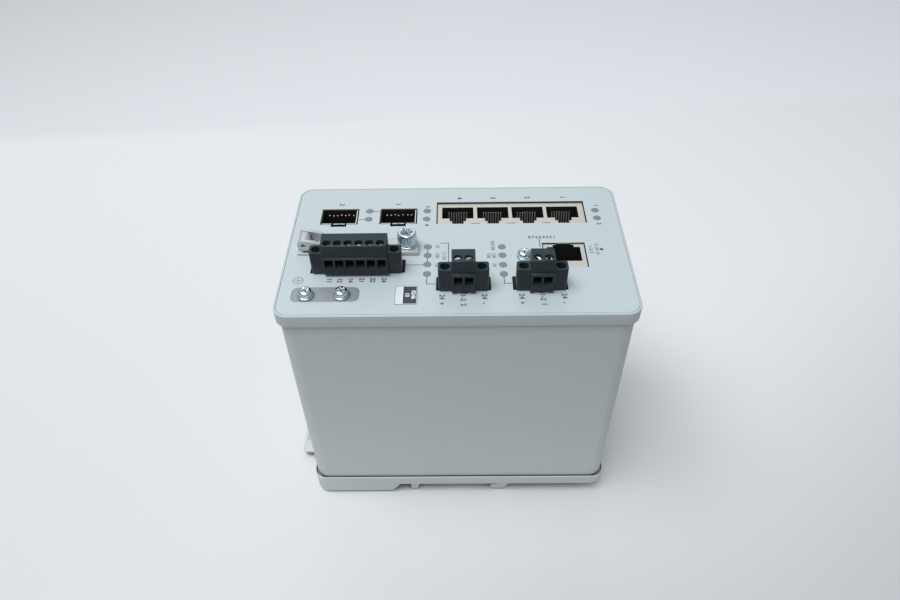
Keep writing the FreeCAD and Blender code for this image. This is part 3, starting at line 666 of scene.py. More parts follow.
INK = ink("grey_ink", (0.09, 0.11, 0.125))
DARK_INK = ink("dark_ink", (0.035, 0.042, 0.05))
PALE_INK = ink("pale_ink", (0.20, 0.235, 0.26))
WHITE_INK = ink("white_ink", (0.75, 0.79, 0.82))
print("inks", [kind.name for kind in (INK, DARK_INK, PALE_INK, WHITE_INK)])

# %% [markdown]
# ## The sticker
# One small two-part label sits on the front: a pale field, a dark field and a thin outline. It
# carries plain numbers only. All of it is painted by steps along X and Y on one flat solid, so no
# second piece is needed, and the numbers are printed later with the others.

# %% Sticker material
DARK_FIELD = (0.032, 0.040, 0.047)
OUTLINE = (0.13, 0.15, 0.165)
PALE_SHARE = 0.37
MARGIN = 0.35 * MM
OUTLINE_WIDTH = 0.16 * MM


def two_fields(nodes, links, base):
    """A dark field right of `PALE_SHARE` of the length, inside a margin, and an outline round all."""
    low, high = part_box("panel_sticker")
    place = parts_of(nodes, links, "Object")
    dark = where_all(nodes, links, [
        (place["X"], "GREATER_THAN", low.x + (high.x - low.x) * PALE_SHARE),
        (place["X"], "LESS_THAN", high.x - MARGIN),
        (place["Y"], "GREATER_THAN", low.y + MARGIN),
        (place["Y"], "LESS_THAN", high.y - MARGIN),
    ])
    fields = mix_colours(nodes, links, dark, base, DARK_FIELD)
    inside = where_all(nodes, links, [
        (place["X"], "GREATER_THAN", low.x + OUTLINE_WIDTH),
        (place["X"], "LESS_THAN", high.x - OUTLINE_WIDTH),
        (place["Y"], "GREATER_THAN", low.y + OUTLINE_WIDTH),
        (place["Y"], "LESS_THAN", high.y - OUTLINE_WIDTH),
    ])
    return mix_colours(nodes, links, inside, OUTLINE, fields)


FINISHES["sticker"] = finish(
    "blank_sticker", (0.66, 0.73, 0.78), 0.38, drift=0.02, edge=0.05, wear=0.0, gap=1.0, paint=two_fields
)

print("sticker finish", FINISHES["sticker"].name)

# %% [markdown]
# ## Every part gets its finish
# The frame's meshes come with plain stand-in materials named after their slots. The name, without
# any number that Blender added, leads to the finish. Here only the material of each part is set.

# %% Finishes on the frame's parts
for material_row in frame["record"]["materials"]:
    print("slot", material_row["slot"], "->", FINISHES[material_row["slot"]].name)
for node, thing in frame["nodes"].items():
    slot_name = thing.data.materials[0].name.split(".")[0]
    thing.data.materials[0] = OWN_FINISH.get(node) or FINISHES[slot_name]

# %% [markdown]
# ## Smooth skins for the curved sheet metal
# The light breaks at each facet of a rounded corner of the frame's own meshes. A softened copy is
# shaded smoothly and stands for the node, so the shape stays the engineer's. Mouldings and sheet
# never have knife edges, so the sharp edges of most copies are also rounded by a tenth or two of
# a millimetre.

# %% Smooth copies
SMOOTH = {
    "housing_shell": ("housing", "body_paint", 0.0),
    "front_bezel": ("housing", "bezel_paint", 0.15),
    "rear_tray": ("housing", "tray_metal", 0.12),
    "alarm_plug": ("housing", "terminal_plastic", 0.12),
    "power_a_plug": ("housing", "terminal_plastic", 0.12),
    "power_b_plug": ("housing", "terminal_plastic", 0.12),
    "sd_door": ("sd_door", "door_metal", 0.12),
    "sd_hinge_base": ("housing", "door_metal", 0.12),
}
for node, (body, slot_name, round_off) in SMOOTH.items():
    mesh = softened_copy(node, round_off)
    skin = add_piece(node + "_skin", mesh, FINISHES[slot_name], body, [node])
    print(skin.name, len(skin.data.polygons), "faces")

# %% [markdown]
# ## Lamp windows by Geometry Nodes
# Fourteen equal round windows sit flush in the film. A node tree makes one lens, a low dome, and
# puts it on every point of a small point mesh. Its inputs are the radius and the crown, so a
# larger lamp needs no new modelling. The tree ends in Realize Instances and Set Material, and its
# result is taken over as a plain mesh.

# %% Geometry Nodes helpers
def new_tree(name, inputs):
    tree = bpy.data.node_groups.new(name, "GeometryNodeTree")
    tree.interface.new_socket(name="Geometry", in_out="INPUT", socket_type="NodeSocketGeometry")
    for socket, kind, default in inputs:
        made = tree.interface.new_socket(name=socket, in_out="INPUT", socket_type=kind)
        if default is not None:
            made.default_value = default
    tree.interface.new_socket(name="Geometry", in_out="OUTPUT", socket_type="NodeSocketGeometry")
    return tree, tree.nodes.new("NodeGroupInput"), tree.nodes.new("NodeGroupOutput")


def maths(tree, operation, first, second):
    node = tree.nodes.new("ShaderNodeMath")
    node.operation = operation
    for socket, value in zip(node.inputs, (first, second)):
        if hasattr(value, "links"):
            tree.links.new(value, socket)
        else:
            socket.default_value = value
    return node.outputs["Value"]


def close_tree(tree, result, geometry, material):
    """Realize Instances, then Set Material, then the output."""
    real = tree.nodes.new("GeometryNodeRealizeInstances")
    paint = tree.nodes.new("GeometryNodeSetMaterial")
    tree.links.new(geometry, real.inputs["Geometry"])
    tree.links.new(real.outputs["Geometry"], paint.inputs["Geometry"])
    tree.links.new(material, paint.inputs["Material"])
    tree.links.new(paint.outputs["Geometry"], result.inputs["Geometry"])


def run_tree(name, tree, points, values):
    """Runs a tree on a mesh of bare points and returns the plain mesh that it makes."""
    seed = bpy.data.meshes.new(name + "_points")
    seed.from_pydata([tuple(p) for p in points], [], [])
    holder = bpy.data.objects.new(name + "_holder", seed)
    scene.collection.objects.link(holder)
    modifier = holder.modifiers.new("nodes", "NODES")
    modifier.node_group = tree
    for item in tree.interface.items_tree:
        if item.in_out == "INPUT" and item.name in values:
            modifier[item.identifier] = values[item.name]
    graph = bpy.context.evaluated_depsgraph_get()
    mesh = bpy.data.meshes.new_from_object(holder.evaluated_get(graph))
    holder.modifiers.clear()
    bpy.data.objects.remove(holder)
    return mesh


print("node-tree helpers ready")

# %% Lamp tree
def lamp_tree():
    tree, given, result = new_tree(
        "lamp_windows",
        [
            ("Radius", "NodeSocketFloat", 0.0015),
            ("Crown", "NodeSocketFloat", 0.0001),
            ("Material", "NodeSocketMaterial", None),
        ],
    )
    nodes, links = tree.nodes, tree.links
    lens = nodes.new("GeometryNodeMeshCylinder")
    lens.inputs["Vertices"].default_value = 40
    lens.inputs["Fill Segments"].default_value = 6
    lens.inputs["Depth"].default_value = 0.6 * MM
    links.new(given.outputs["Radius"], lens.inputs["Radius"])
    place = nodes.new("GeometryNodeInputPosition")
    axes = nodes.new("ShaderNodeSeparateXYZ")
    links.new(place.outputs["Position"], axes.inputs["Vector"])
    x_part = maths(tree, "MULTIPLY", axes.outputs["X"], axes.outputs["X"])
    y_part = maths(tree, "MULTIPLY", axes.outputs["Y"], axes.outputs["Y"])
    outward = maths(tree, "ADD", x_part, y_part)
    edge = maths(tree, "MULTIPLY", given.outputs["Radius"], given.outputs["Radius"])
    share = maths(tree, "DIVIDE", outward, edge)
    rise = maths(tree, "MULTIPLY", maths(tree, "SUBTRACT", 1.0, share), given.outputs["Crown"])
    top_only = maths(tree, "GREATER_THAN", axes.outputs["Z"], 0.0)
    lift = nodes.new("ShaderNodeCombineXYZ")
    links.new(maths(tree, "MULTIPLY", rise, top_only), lift.inputs["Z"])
    dome = nodes.new("GeometryNodeSetPosition")
    links.new(lens.outputs["Mesh"], dome.inputs["Geometry"])
    links.new(lift.outputs["Vector"], dome.inputs["Offset"])
    copies = nodes.new("GeometryNodeInstanceOnPoints")
    links.new(given.outputs["Geometry"], copies.inputs["Points"])
    links.new(dome.outputs["Geometry"], copies.inputs["Instance"])
    close_tree(tree, result, copies.outputs["Instances"], given.outputs["Material"])
    return tree


LAMP_DEPTH = 0.27 * MM      # of a lens's middle, below the film's face
lamp_points = []
for low, high in solids("light_pipes"):
    centre = (low + high) / 2
    lamp_points.append((centre.x, centre.y, FILM_TOP - LAMP_DEPTH))
lamp_values = {"Radius": 1.52 * MM, "Crown": 0.10 * MM, "Material": FINISHES["lamp_lens"]}
lamp_mesh = run_tree("lamps", lamp_tree(), lamp_points, lamp_values)
for face in lamp_mesh.polygons:
    face.use_smooth = abs(face.normal.z) > 0.5
add_piece("lamp_windows", lamp_mesh, FINISHES["lamp_lens"], "housing", ["light_pipes"])
print("lamp windows:", len(lamp_points))

# %% [markdown]
# ## Screws
# The cross-recess screws share one head, turned from a profile with a low dome, with a tapered
# cross cut into it by a boolean. The slotted clamp screws inside the plugs are made the same way
# from a flatter head. The head's seat or top is at z = 0, so that it can be put down on a point.

# %% Screw heads
def carve(mesh, cutters, name):
    """Cuts closed cutter meshes out of a closed mesh."""
    block = bpy.data.objects.new(name, mesh)
    scene.collection.objects.link(block)
    spare = []
    for cutter_mesh in cutters:
        cutter = bpy.data.objects.new(name + "_cutter", cutter_mesh)
        scene.collection.objects.link(cutter)
        spare.append(cutter)
        boolean = block.modifiers.new("cut", "BOOLEAN")
        boolean.operation = "DIFFERENCE"
        boolean.solver = "EXACT"
        boolean.object = cutter
    finished = apply_modifiers(block)
    for thing in spare + [block]:
        bpy.data.objects.remove(thing)
    return finished


def tapered_bar(half_long, half_wide, z_low, z_high, shrink, turn):
    """A bar that narrows downwards, one arm of a cross recess."""
    bm = bmesh.new()
    bmesh.ops.create_cube(bm, size=2.0)
    for vert in bm.verts:
        scale = 1.0 if vert.co.z > 0 else shrink
        z = z_high if vert.co.z > 0 else z_low
        vert.co = Vector((vert.co.x * half_long * scale, vert.co.y * half_wide * scale, z)) * MM
    bmesh.ops.rotate(bm, verts=bm.verts, matrix=Matrix.Rotation(turn, 3, "Z"))
    return mesh_from(bm, "bar")


def pan_head(radius, height):
    """Domed head whose seat is at z = 0, with a cross recess."""
    rim, steps = 0.38, 8
    profile = [(0, 0), (radius - 0.15, 0), (radius, 0.15), (radius, height * rim)]
    for i in range(1, steps):
        a = math.pi / 2 * i / steps
        profile.append((radius * math.cos(a) ** 0.75, height * (rim + (1 - rim) * math.sin(a))))
    profile.append((0, height))
    arm_length, arm_width, arm_bottom = radius * 0.62, radius * 0.15, height * 0.30
    arms = [
        tapered_bar(arm_length, arm_width, arm_bottom, height + 0.3, 0.45, math.radians(turn))
        for turn in (0, 90)
    ]
    return carve(mesh_from(lathe(profile, 56), "head"), arms, "pan_head")


def slot_head(radius, height):
    """Flat head with a screwdriver slot, its top at z = 0."""
    profile = [(0, -height), (radius, -height), (radius, -0.25), (radius - 0.25, 0), (0, 0)]
    slot_cut = bmesh.new()
    reach = Vector((2 * radius, 0.27, 0.65)) * MM
    add_box(slot_cut, Vector((-reach.x, -reach.y, -reach.z)), Vector((reach.x, reach.y, 1 * MM)))
    return carve(mesh_from(lathe(profile, 40), "head"), [mesh_from(slot_cut, "slot")], "slot_head")


print("head makers ready")

# %% [markdown]
# ## One tree for all the heads
# Screws could be copied by a loop, but a node tree does it in one step and keeps the angle of each
# copy as a choice: Random Value turns every head by its own angle, because no two screws stop
# alike, and its Spread input is 0 for pieces that must not turn. Flip puts a head face down.

# %% Copies of a head on points
def head_tree():
    tree, given, result = new_tree(
        "screw_heads",
        [
            ("Head", "NodeSocketObject", None),
            ("Flip", "NodeSocketFloat", 0.0),
            ("Spread", "NodeSocketFloat", math.pi),
            ("Seed", "NodeSocketInt", 1),
            ("Material", "NodeSocketMaterial", None),
        ],
    )
    nodes, links = tree.nodes, tree.links
    head = nodes.new("GeometryNodeObjectInfo")
    links.new(given.outputs["Head"], head.inputs["Object"])
    turn = nodes.new("FunctionNodeRandomValue")
    turn.data_type = "FLOAT"
    links.new(given.outputs["Spread"], turn.inputs[3])
    links.new(given.outputs["Seed"], turn.inputs["Seed"])
    angles = nodes.new("ShaderNodeCombineXYZ")
    links.new(given.outputs["Flip"], angles.inputs["X"])
    links.new(turn.outputs[1], angles.inputs["Z"])
    copies = nodes.new("GeometryNodeInstanceOnPoints")
    links.new(given.outputs["Geometry"], copies.inputs["Points"])
    links.new(head.outputs["Geometry"], copies.inputs["Instance"])
    links.new(angles.outputs["Vector"], copies.inputs["Rotation"])
    close_tree(tree, result, copies.outputs["Instances"], given.outputs["Material"])
    return tree


HEAD_TREE = head_tree()


def place_heads(name, head_mesh, points, slot_name, replaced, flip=0.0, spread_by=math.pi, seed=1):
    """Copies a mesh to points, each turned by its own angle, as one piece of the housing."""
    head = bpy.data.objects.new(name + "_head", head_mesh)
    scene.collection.objects.link(head)
    values = {"Head": head, "Flip": flip, "Spread": spread_by, "Seed": seed}
    mesh = run_tree(name, HEAD_TREE, points, values | {"Material": FINISHES[slot_name]})
    bpy.data.objects.remove(head)
    piece = add_piece(name, mesh, FINISHES[slot_name], "housing", replaced)
    print(name, len(points), "copies,", len(mesh.polygons), "faces")
    return piece


def tops(node, drop=0.0):
    """The middle of the top of each solid of a node, `drop` millimetres lower."""
    return [Vector(((a.x + b.x) / 2, (a.y + b.y) / 2, b.z - drop * MM)) for a, b in solids(node)]


def bottoms(node, lift=0.0):
    """The middle of the underside of each solid of a node, `lift` millimetres higher."""
    return [Vector(((a.x + b.x) / 2, (a.y + b.y) / 2, a.z + lift * MM)) for a, b in solids(node)]


print("tree", HEAD_TREE.name)

# %% Screws on the switch
GROUND_HEAD, USB_HEAD, TRAY_HEAD = 2.2, 2.1, 1.9      # heights of the domed heads
place_heads(
    "ground_screw_heads", pan_head(2.6, GROUND_HEAD), tops("ground_screws", GROUND_HEAD), "zinc_screw",
    ["ground_screws"], seed=4,
)
place_heads(
    "usb_screw_head", pan_head(2.5, USB_HEAD), tops("usb_screw", USB_HEAD), "zinc_screw", ["usb_screw"],
    seed=9,
)
place_heads(
    "tray_screw_heads", pan_head(2.9, TRAY_HEAD), bottoms("tray_screws", TRAY_HEAD), "zinc_screw",
    ["tray_screws"], flip=math.pi, seed=2,
)
place_heads(
    "power_clamp_heads", slot_head(1.4, 1.9), tops("power_a_screws") + tops("power_b_screws"), "zinc_screw",
    ["power_a_screws", "power_b_screws"], seed=7,
)
deep_heads = place_heads(
    "alarm_clamp_heads", slot_head(1.4, 1.9), tops("alarm_screws"), "zinc_screw", ["alarm_screws"], seed=11
)
# The deep alarm screws get the darker zinc, as painted shade.
deep_heads.data.materials[0] = SHADED_ZINC
flange_nodes = ["alarm_flange_screws", "power_a_flange_screws", "power_b_flange_screws"]
flange_points = [point for node in flange_nodes for point in tops(node)]
place_heads("flange_screw_heads", slot_head(1.6, 1.4), flange_points, "zinc_screw", flange_nodes, seed=5)

# %% [markdown]
# ## Washers
# Under each bright screw lies a washer. A turned ring with slightly rounded edges is enough. It is
# hollow, so the profile runs once round the section, and the last ring of points joins the first.

# %% Washers
def ring_mesh(outer, inner, height):
    """A washer whose underside is at z = 0."""
    bm = bmesh.new()
    soft, sides = 0.12, 56
    section = [
        (inner, soft), (inner + soft, 0), (outer - soft, 0), (outer, soft),
        (outer, height - soft), (outer - soft, height), (inner + soft, height), (inner, height - soft),
    ]
    rings = []
    for radius, z in section:
        ring = []
        for i in range(sides):
            a = 2 * math.pi * i / sides
            ring.append(bm.verts.new((radius * MM * math.cos(a), radius * MM * math.sin(a), z * MM)))
        rings.append(ring)
    for k, ring in enumerate(rings):
        after = rings[(k + 1) % len(rings)]
        for i in range(sides):
            j = (i + 1) % sides
            bm.faces.new((ring[i], ring[j], after[j], after[i]))
    return mesh_from(bm, "ring", 50)


ground_ring, usb_ring = ring_mesh(2.95, 1.8, 0.9), ring_mesh(2.7, 1.35, 1.0)
place_heads("ground_rings", ground_ring, bottoms("ground_washers"), "zinc_screw", ["ground_washers"], seed=3)
place_heads("usb_ring", usb_ring, bottoms("usb_screw_washer"), "zinc_screw", ["usb_screw_washer"], seed=3)

# %% [markdown]
# ## Spring fingers in the module cages
# A module is earthed by small tongues bent out of the cage's sheet. A row of them shows deep on
# the far wall, and three broader ones sit just inside the near lip. A bent strip is extruded from
# a short polyline, and the node tree of the screws copies it without turning.

# %% Cage fingers
def bent_strip(wide, path, thick=0.12):
    """A strip of sheet whose middle line follows (y, z) points in millimetres."""
    bm = bmesh.new()
    rings = []
    for y, z in path:
        half, inner = wide / 2, y - thick
        corners = ((-half, y, z), (half, y, z), (half, inner, z), (-half, inner, z))
        rings.append([bm.verts.new(Vector(corner) * MM) for corner in corners])
    for low, high in zip(rings, rings[1:]):
        for i in range(4):
            j = (i + 1) % 4
            bm.faces.new((low[i], low[j], high[j], high[i]))
    bm.faces.new(rings[0])
    bm.faces.new(rings[-1][::-1])
    return mesh_from(bm, "strip", 60)


jitter = random.Random(3)
far_fingers, near_fingers = [], []
for node in ("sfp_cage_1", "sfp_cage_2"):
    low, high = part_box(node)
    for i in range(7):
        x = low.x + (2.4 + 1.62 * i + jitter.uniform(-0.25, 0.25)) * MM
        far_fingers.append((x, high.y - 0.42 * MM, FILM_TOP - (3.0 + jitter.uniform(-0.2, 0.3)) * MM))
    for i in range(3):
        near_fingers.append((low.x + (3.6 + 3.9 * i) * MM, low.y + 0.42 * MM, FILM_TOP - 1.0 * MM))
far_strip = bent_strip(0.5, [(0, -0.7), (-0.2, -0.2), (-0.34, 0.25), (-0.15, 0.5)])
near_strip = bent_strip(1.0, [(0, -1.0), (0.22, -0.3), (0.36, 0.3), (0.3, 0.6)], -0.12)
far_piece = place_heads("far_cage_fingers", far_strip, far_fingers, "spring_steel", [], spread_by=0.0)
far_piece.data.materials[0] = COPPER
place_heads("near_cage_fingers", near_strip, near_fingers, "jack_shield", [], spread_by=0.0)

# %% [markdown]
# ## The captive thumbscrew
# The door is held by a screw that fingers can turn. Its grip has a straight knurl, so the lathe's
# shape function pulls the radius in and out as the angle runs round, fading to nothing at the top
# and bottom where the turned chamfers are. The shank goes down through the door to its ring.

# %% Thumbscrew
THUMB_LOW, THUMB_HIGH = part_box("thumbscrew")
THUMB_X, THUMB_Y = (THUMB_LOW.x + THUMB_HIGH.x) / 2, (THUMB_LOW.y + THUMB_HIGH.y) / 2
GRIP_LOW, GRIP_TOP = -5.0, -0.75      # knurled stretch, below the top of the head
TEETH = 32


def knurl(angle, z):
    """1 outside the grip, and a row of rounded teeth on it."""
    if not GRIP_LOW < z < GRIP_TOP:
        return 1.0
    return 1.0 - 0.06 * abs(math.sin(TEETH / 2 * angle))


shank = [(0, -10.5), (1.5, -10.5), (1.7, -10.2), (1.7, -8.06), (2.4, -8.04), (2.4, -7.52), (1.7, -7.5)]
collar = [(1.7, -5.8), (3.55, -5.79), (3.7, -5.65), (3.7, -5.2), (3.4, -5.1), (3.4, -5.02)]
grip = [(3.6, -4.9), (3.65, -4.7), (3.65, -0.9), (3.6, -0.8), (3.5, -0.65), (3.3, -0.2), (3.05, 0), (0, 0)]
thumb_arms = [tapered_bar(2.2, 0.42, -1.5, 0.3, 0.5, math.radians(turn)) for turn in (25, 115)]
thumb_mesh = carve(mesh_from(lathe(shank + collar + grip, 240, knurl), "grip"), thumb_arms, "thumb")
thumb_mesh.transform(Matrix.Translation((THUMB_X, THUMB_Y, THUMB_HIGH.z)))
add_piece("thumbscrew_knob", thumb_mesh, FINISHES["zinc_screw"], "thumbscrew", ["thumbscrew"])
print("thumbscrew", len(thumb_mesh.polygons), "faces")

# %% [markdown]
# ## The latch spring
# The rail latch is pushed home by a coil spring in a window of its plate. Geometry Nodes have a
# spiral curve and a sweep, which is a spring in three nodes. When the latch is pulled the spring
# is squeezed.

# %% Latch spring
def spring_tree():
    tree, given, result = new_tree(
        "coil_spring",
        [
            ("Length", "NodeSocketFloat", 0.016),
            ("Coil Radius", "NodeSocketFloat", 0.00145),
            ("Wire Radius", "NodeSocketFloat", 0.0003),
            ("Turns", "NodeSocketFloat", 7.0),
            ("Material", "NodeSocketMaterial", None),
        ],
    )
    nodes, links = tree.nodes, tree.links
    spiral = nodes.new("GeometryNodeCurveSpiral")
    spiral.inputs["Resolution"].default_value = 32
    links.new(given.outputs["Turns"], spiral.inputs["Rotations"])
    links.new(given.outputs["Coil Radius"], spiral.inputs["Start Radius"])
    links.new(given.outputs["Coil Radius"], spiral.inputs["End Radius"])
    links.new(given.outputs["Length"], spiral.inputs["Height"])
    wire = nodes.new("GeometryNodeCurvePrimitiveCircle")
    wire.inputs["Resolution"].default_value = 12
    links.new(given.outputs["Wire Radius"], wire.inputs["Radius"])
    sweep = nodes.new("GeometryNodeCurveToMesh")
    sweep.inputs["Fill Caps"].default_value = True
    links.new(spiral.outputs["Curve"], sweep.inputs["Curve"])
    links.new(wire.outputs["Curve"], sweep.inputs["Profile Curve"])
    close_tree(tree, result, sweep.outputs["Mesh"], given.outputs["Material"])
    return tree


SPRING_LOW, SPRING_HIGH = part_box("latch_spring")
WIRE = 0.28 * MM
coil_radius = (SPRING_HIGH.z - SPRING_LOW.z) / 2 - WIRE
spring_mesh = run_tree(
    "spring", spring_tree(), [(0, 0, 0)],
    {
        "Length": SPRING_HIGH.x - SPRING_LOW.x - 2 * WIRE,
        "Coil Radius": coil_radius,
        "Wire Radius": WIRE,
        "Turns": 7.0,
        "Material": FINISHES["spring_steel"],
    },
)
axis_z = (SPRING_LOW.z + SPRING_HIGH.z) / 2
lay_down = Matrix.Translation((SPRING_LOW.x + WIRE, 0, axis_z)) @ Matrix.Rotation(math.pi / 2, 4, "Y")
spring_mesh.transform(lay_down)
spring_piece = add_piece(
    "latch_spring_coil", spring_mesh, FINISHES["spring_steel"], "housing", ["latch_spring"]
)
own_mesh(spring_piece)

# %% [markdown]
# ## Printing on the film
# The numbers, lead lines and brackets are flat ink. Text is made a mesh before it is placed, and
# every mark is a hair above the film. The device is used with its +X end up, so the numbers stand
# along X. Font curves give true outlines of the figures, which a painted image would blur, and
# their offset makes a stroke heavier or lighter, as a silk screen does.

# %% Ink helpers
INK_LIFT = 0.012
INK_DEPTH = 0.02
CAP_SHARE = 0.7      # height of a figure as a share of the type size


def text_mesh(word, height, weight, turn):
    """A flat word of the given cap height in millimetres, centred and turned by an angle."""
    curve = bpy.data.curves.new("word", "FONT")
    curve.body = word
    curve.size = height * MM / CAP_SHARE
    curve.align_x, curve.align_y = "CENTER", "CENTER"
    curve.extrude = INK_DEPTH * MM / 2
    curve.offset = weight * MM
    curve.resolution_u = 4
    holder = bpy.data.objects.new("word", curve)
    scene.collection.objects.link(holder)
    bpy.context.view_layer.update()
    graph = bpy.context.evaluated_depsgraph_get()
    mesh = bpy.data.meshes.new_from_object(holder.evaluated_get(graph))
    bpy.data.objects.remove(holder)
    mesh.transform(Matrix.Rotation(turn, 4, "Z"))
    return mesh


def add_words(bm, words, height, weight=0.07, lift=INK_LIFT, turn=-math.pi / 2):
    """Adds words to a bmesh; they stand along +X unless another turn is given."""
    for word, x, y in words:
        mesh = text_mesh(word, height, weight, turn)
        mesh.transform(Matrix.Translation(on_panel(x, y, lift + INK_DEPTH / 2)))
        bm.from_mesh(mesh)
        bpy.data.meshes.remove(mesh)


def add_line(bm, x0, y0, x1, y1, width=0.32):
    """A ruled line along X or Y on the film."""
    half = width / 2
    low = on_panel(min(x0, x1) - half, min(y0, y1) - half, INK_LIFT)
    high = on_panel(max(x0, x1) + half, max(y0, y1) + half, INK_LIFT + INK_DEPTH)
    add_box(bm, low, high)


def earth_sign(bm, x, y):
    """A ring with the earth sign in it: one stem and three bars of falling length."""
    radius, width, turns = 1.95, 0.3, 40
    for i in range(turns):
        a, b = 2 * math.pi * i / turns, 2 * math.pi * (i + 1) / turns
        corners = []
        for z in (INK_LIFT, INK_LIFT + INK_DEPTH):
            for r, angle in ((radius - width, a), (radius, a), (radius, b), (radius - width, b)):
                corners.append(bm.verts.new(on_panel(x + r * math.cos(angle), y + r * math.sin(angle), z)))
        for quad in ((0, 1, 2, 3), (4, 5, 6, 7), (1, 2, 6, 5), (0, 3, 7, 4)):
            bm.faces.new([corners[k] for k in quad])
    add_line(bm, x + 0.1, y, x + 1.3, y, 0.26)
    for step, half in enumerate((1.0, 0.65, 0.3)):
        add_line(bm, x + 0.1 - 0.5 * step, y - half, x + 0.1 - 0.5 * step, y + half, 0.24)


print("ink", INK_DEPTH, "mm deep")

# %% [markdown]
# ## What is printed where
# Only plain numbers, signs and lines are printed. The strong numbers name the sockets and the
# terminals, and the fainter ones beside the lamps are in a paler ink. Each mark is a word and the
# place of its middle, in millimetres from the low corner of the bezel. The places were measured
# one by one, and don't follow from the frame.

# %% Ink marks
SOCKET_NUMBERS = [
    ("2", 18.2, 63.7), ("1", 41.2, 63.6), ("4", 66.3, 67.3), ("3", 80.0, 67.3), ("2", 94.1, 67.4),
    ("1", 108.5, 67.4),
]
LAMP_NUMBERS = [("1", 121.6, 61.6), ("2", 121.2, 49.8), ("3", 53.3, 61.8), ("4", 53.2, 50.0)]
TERMINAL_NUMBERS = [
    ("11", 18.3, 18.3), ("12", 22.2, 18.3), ("14", 26.2, 18.3), ("21", 30.2, 18.3), ("22", 34.2, 18.3),
    ("24", 38.3, 18.3),
]
SUPPLY_MARKS = []
for first, unit in ((59.6, "2"), (88.0, "1")):
    SUPPLY_MARKS += [("24", first, 9.2), ("24", first + 15.1, 9.2), ("1-2", first + 7.5, 8.8)]
    SUPPLY_MARKS += [("+", first - 0.1, 5.9), ("-", first + 15.0, 5.9), (unit, first + 7.6, 5.2)]
PALE_NUMBERS = [
    ("10", 57.6, 37.1), ("100", 57.6, 31.7), ("10", 57.5, 26.3), ("10/100", 78.7, 37.2),
    ("100", 77.0, 31.3), ("100", 79.0, 31.3), ("24", 79.0, 26.0), ("5-10-15", 118.2, 34.5),
    ("1-2-3", 115.9, 34.4), ("11-24", 60.2, 31.5),
]
PIN_NUMBERS = [(str(8 - i), 93.2 + 1.36 * i, 41.8) for i in range(8)]
LINES = [      # from one end to the other
    (31.5, 59.0, 34.3, 59.0), (26.2, 53.9, 28.3, 53.9), (54.0, 36.2, 54.0, 26.7), (46.0, 26.4, 52.5, 26.4),
    (54.0, 21.0, 54.0, 16.0), (54.0, 16.0, 57.6, 16.0), (82.2, 21.0, 82.2, 16.0), (82.2, 16.0, 85.8, 16.0),
    (58.9, 38.8, 61.9, 38.8), (61.9, 38.8, 61.9, 28.3), (96.8, 36.3, 96.8, 40.6),
]

numbers = SOCKET_NUMBERS + LAMP_NUMBERS + TERMINAL_NUMBERS + SUPPLY_MARKS + PALE_NUMBERS + PIN_NUMBERS
print(len(numbers), "marks and", len(LINES), "lines to print")

# %% Print them
strong, pale, dark = bmesh.new(), bmesh.new(), bmesh.new()
add_words(dark, SOCKET_NUMBERS, 1.9)
add_words(dark, LAMP_NUMBERS, 1.55)
add_words(strong, TERMINAL_NUMBERS, 1.75, 0.1)
add_words(strong, SUPPLY_MARKS, 1.9)
add_words(strong, PIN_NUMBERS, 1.45, 0.06, turn=0.0)
add_words(pale, PALE_NUMBERS, 1.45, 0.05)
for line in LINES:
    add_line(strong, *line)
earth_sign(pale, 7.0, 18.4)
add_piece("socket_numbers", mesh_from(dark, "socket_numbers"), DARK_INK, "housing")
add_piece("terminal_numbers", mesh_from(strong, "terminal_numbers"), INK, "housing")
add_piece("lamp_numbers", mesh_from(pale, "lamp_numbers"), PALE_INK, "housing")
label = bmesh.new()
label_top = (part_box("panel_sticker")[1].z - FILM_TOP) / MM + 0.01
add_words(label, [("10", 47.2, 10.4), ("0246", 49.4, 10.4)], 1.5, 0.07, label_top)
add_piece("sticker_numbers", mesh_from(label, "sticker_numbers"), WHITE_INK, "housing")
print("printed on the film and the sticker")

# %% [markdown]
# ## The floor
# The switch stands on a pale disc just under its lowest point. The disc isn't one plain colour:
# soft steps of painted light and shade are mixed into it from distances along the floor. Painted
# fall-off makes it greyer towards its corners, a painted shadow darkens it towards the near right,
# and towards the back these steps fade to the plain paper again. At a fold behind the switch it
# changes, as a paper sweep would, to painted shade that is darker on the left, and a painted
# contact shadow darkens it under the switch. The numbers of these steps, apart from the contact
# shadow under the switch, were found by a numerical fit. They follow no rule and mean nothing one
# by one. For a plain floor, set Base Color to PAPER and leave the steps out. Nothing else uses them.

# %% Floor
FLOOR_GAP = 0.05 * MM
floor_mesh = bpy.data.meshes.new("floor")
floor_bm = bmesh.new()
bmesh.ops.create_circle(floor_bm, cap_ends=True, segments=96, radius=4.0)
floor_bm.to_mesh(floor_mesh)
floor_bm.free()
floor_mesh.transform(Matrix.Translation((0, 0, cad_low.z - FLOOR_GAP)))
floor = bpy.data.objects.new("floor", floor_mesh)
scene.collection.objects.link(floor)
paper = bpy.data.materials.new("paper_floor")
paper.use_nodes = True
floor_mesh.materials.append(paper)
paper_nodes, paper_links = paper.node_tree.nodes, paper.node_tree.links
paper_shader = paper_nodes["Principled BSDF"]
paper_shader.inputs["Roughness"].default_value = 0.75
paper_shader.inputs["Specular IOR Level"].default_value = 0.2
paper_place = paper_nodes.new("ShaderNodeTexCoord")
print("floor at z", round((cad_low.z - FLOOR_GAP) / MM, 2), "mm")

# %% Floor shading helpers
def smooth_ramp(value, start, end, top=1.0):
    """0 to `top`, with soft ends, as a distance in metres runs from start to end."""
    ramp = paper_nodes.new("ShaderNodeMapRange")
    ramp.interpolation_type = "SMOOTHSTEP"
    ramp.inputs["From Min"].default_value = start
    ramp.inputs["From Max"].default_value = end
    ramp.inputs["To Max"].default_value = top
    paper_links.new(value, ramp.inputs["Value"])
    return ramp.outputs["Result"]


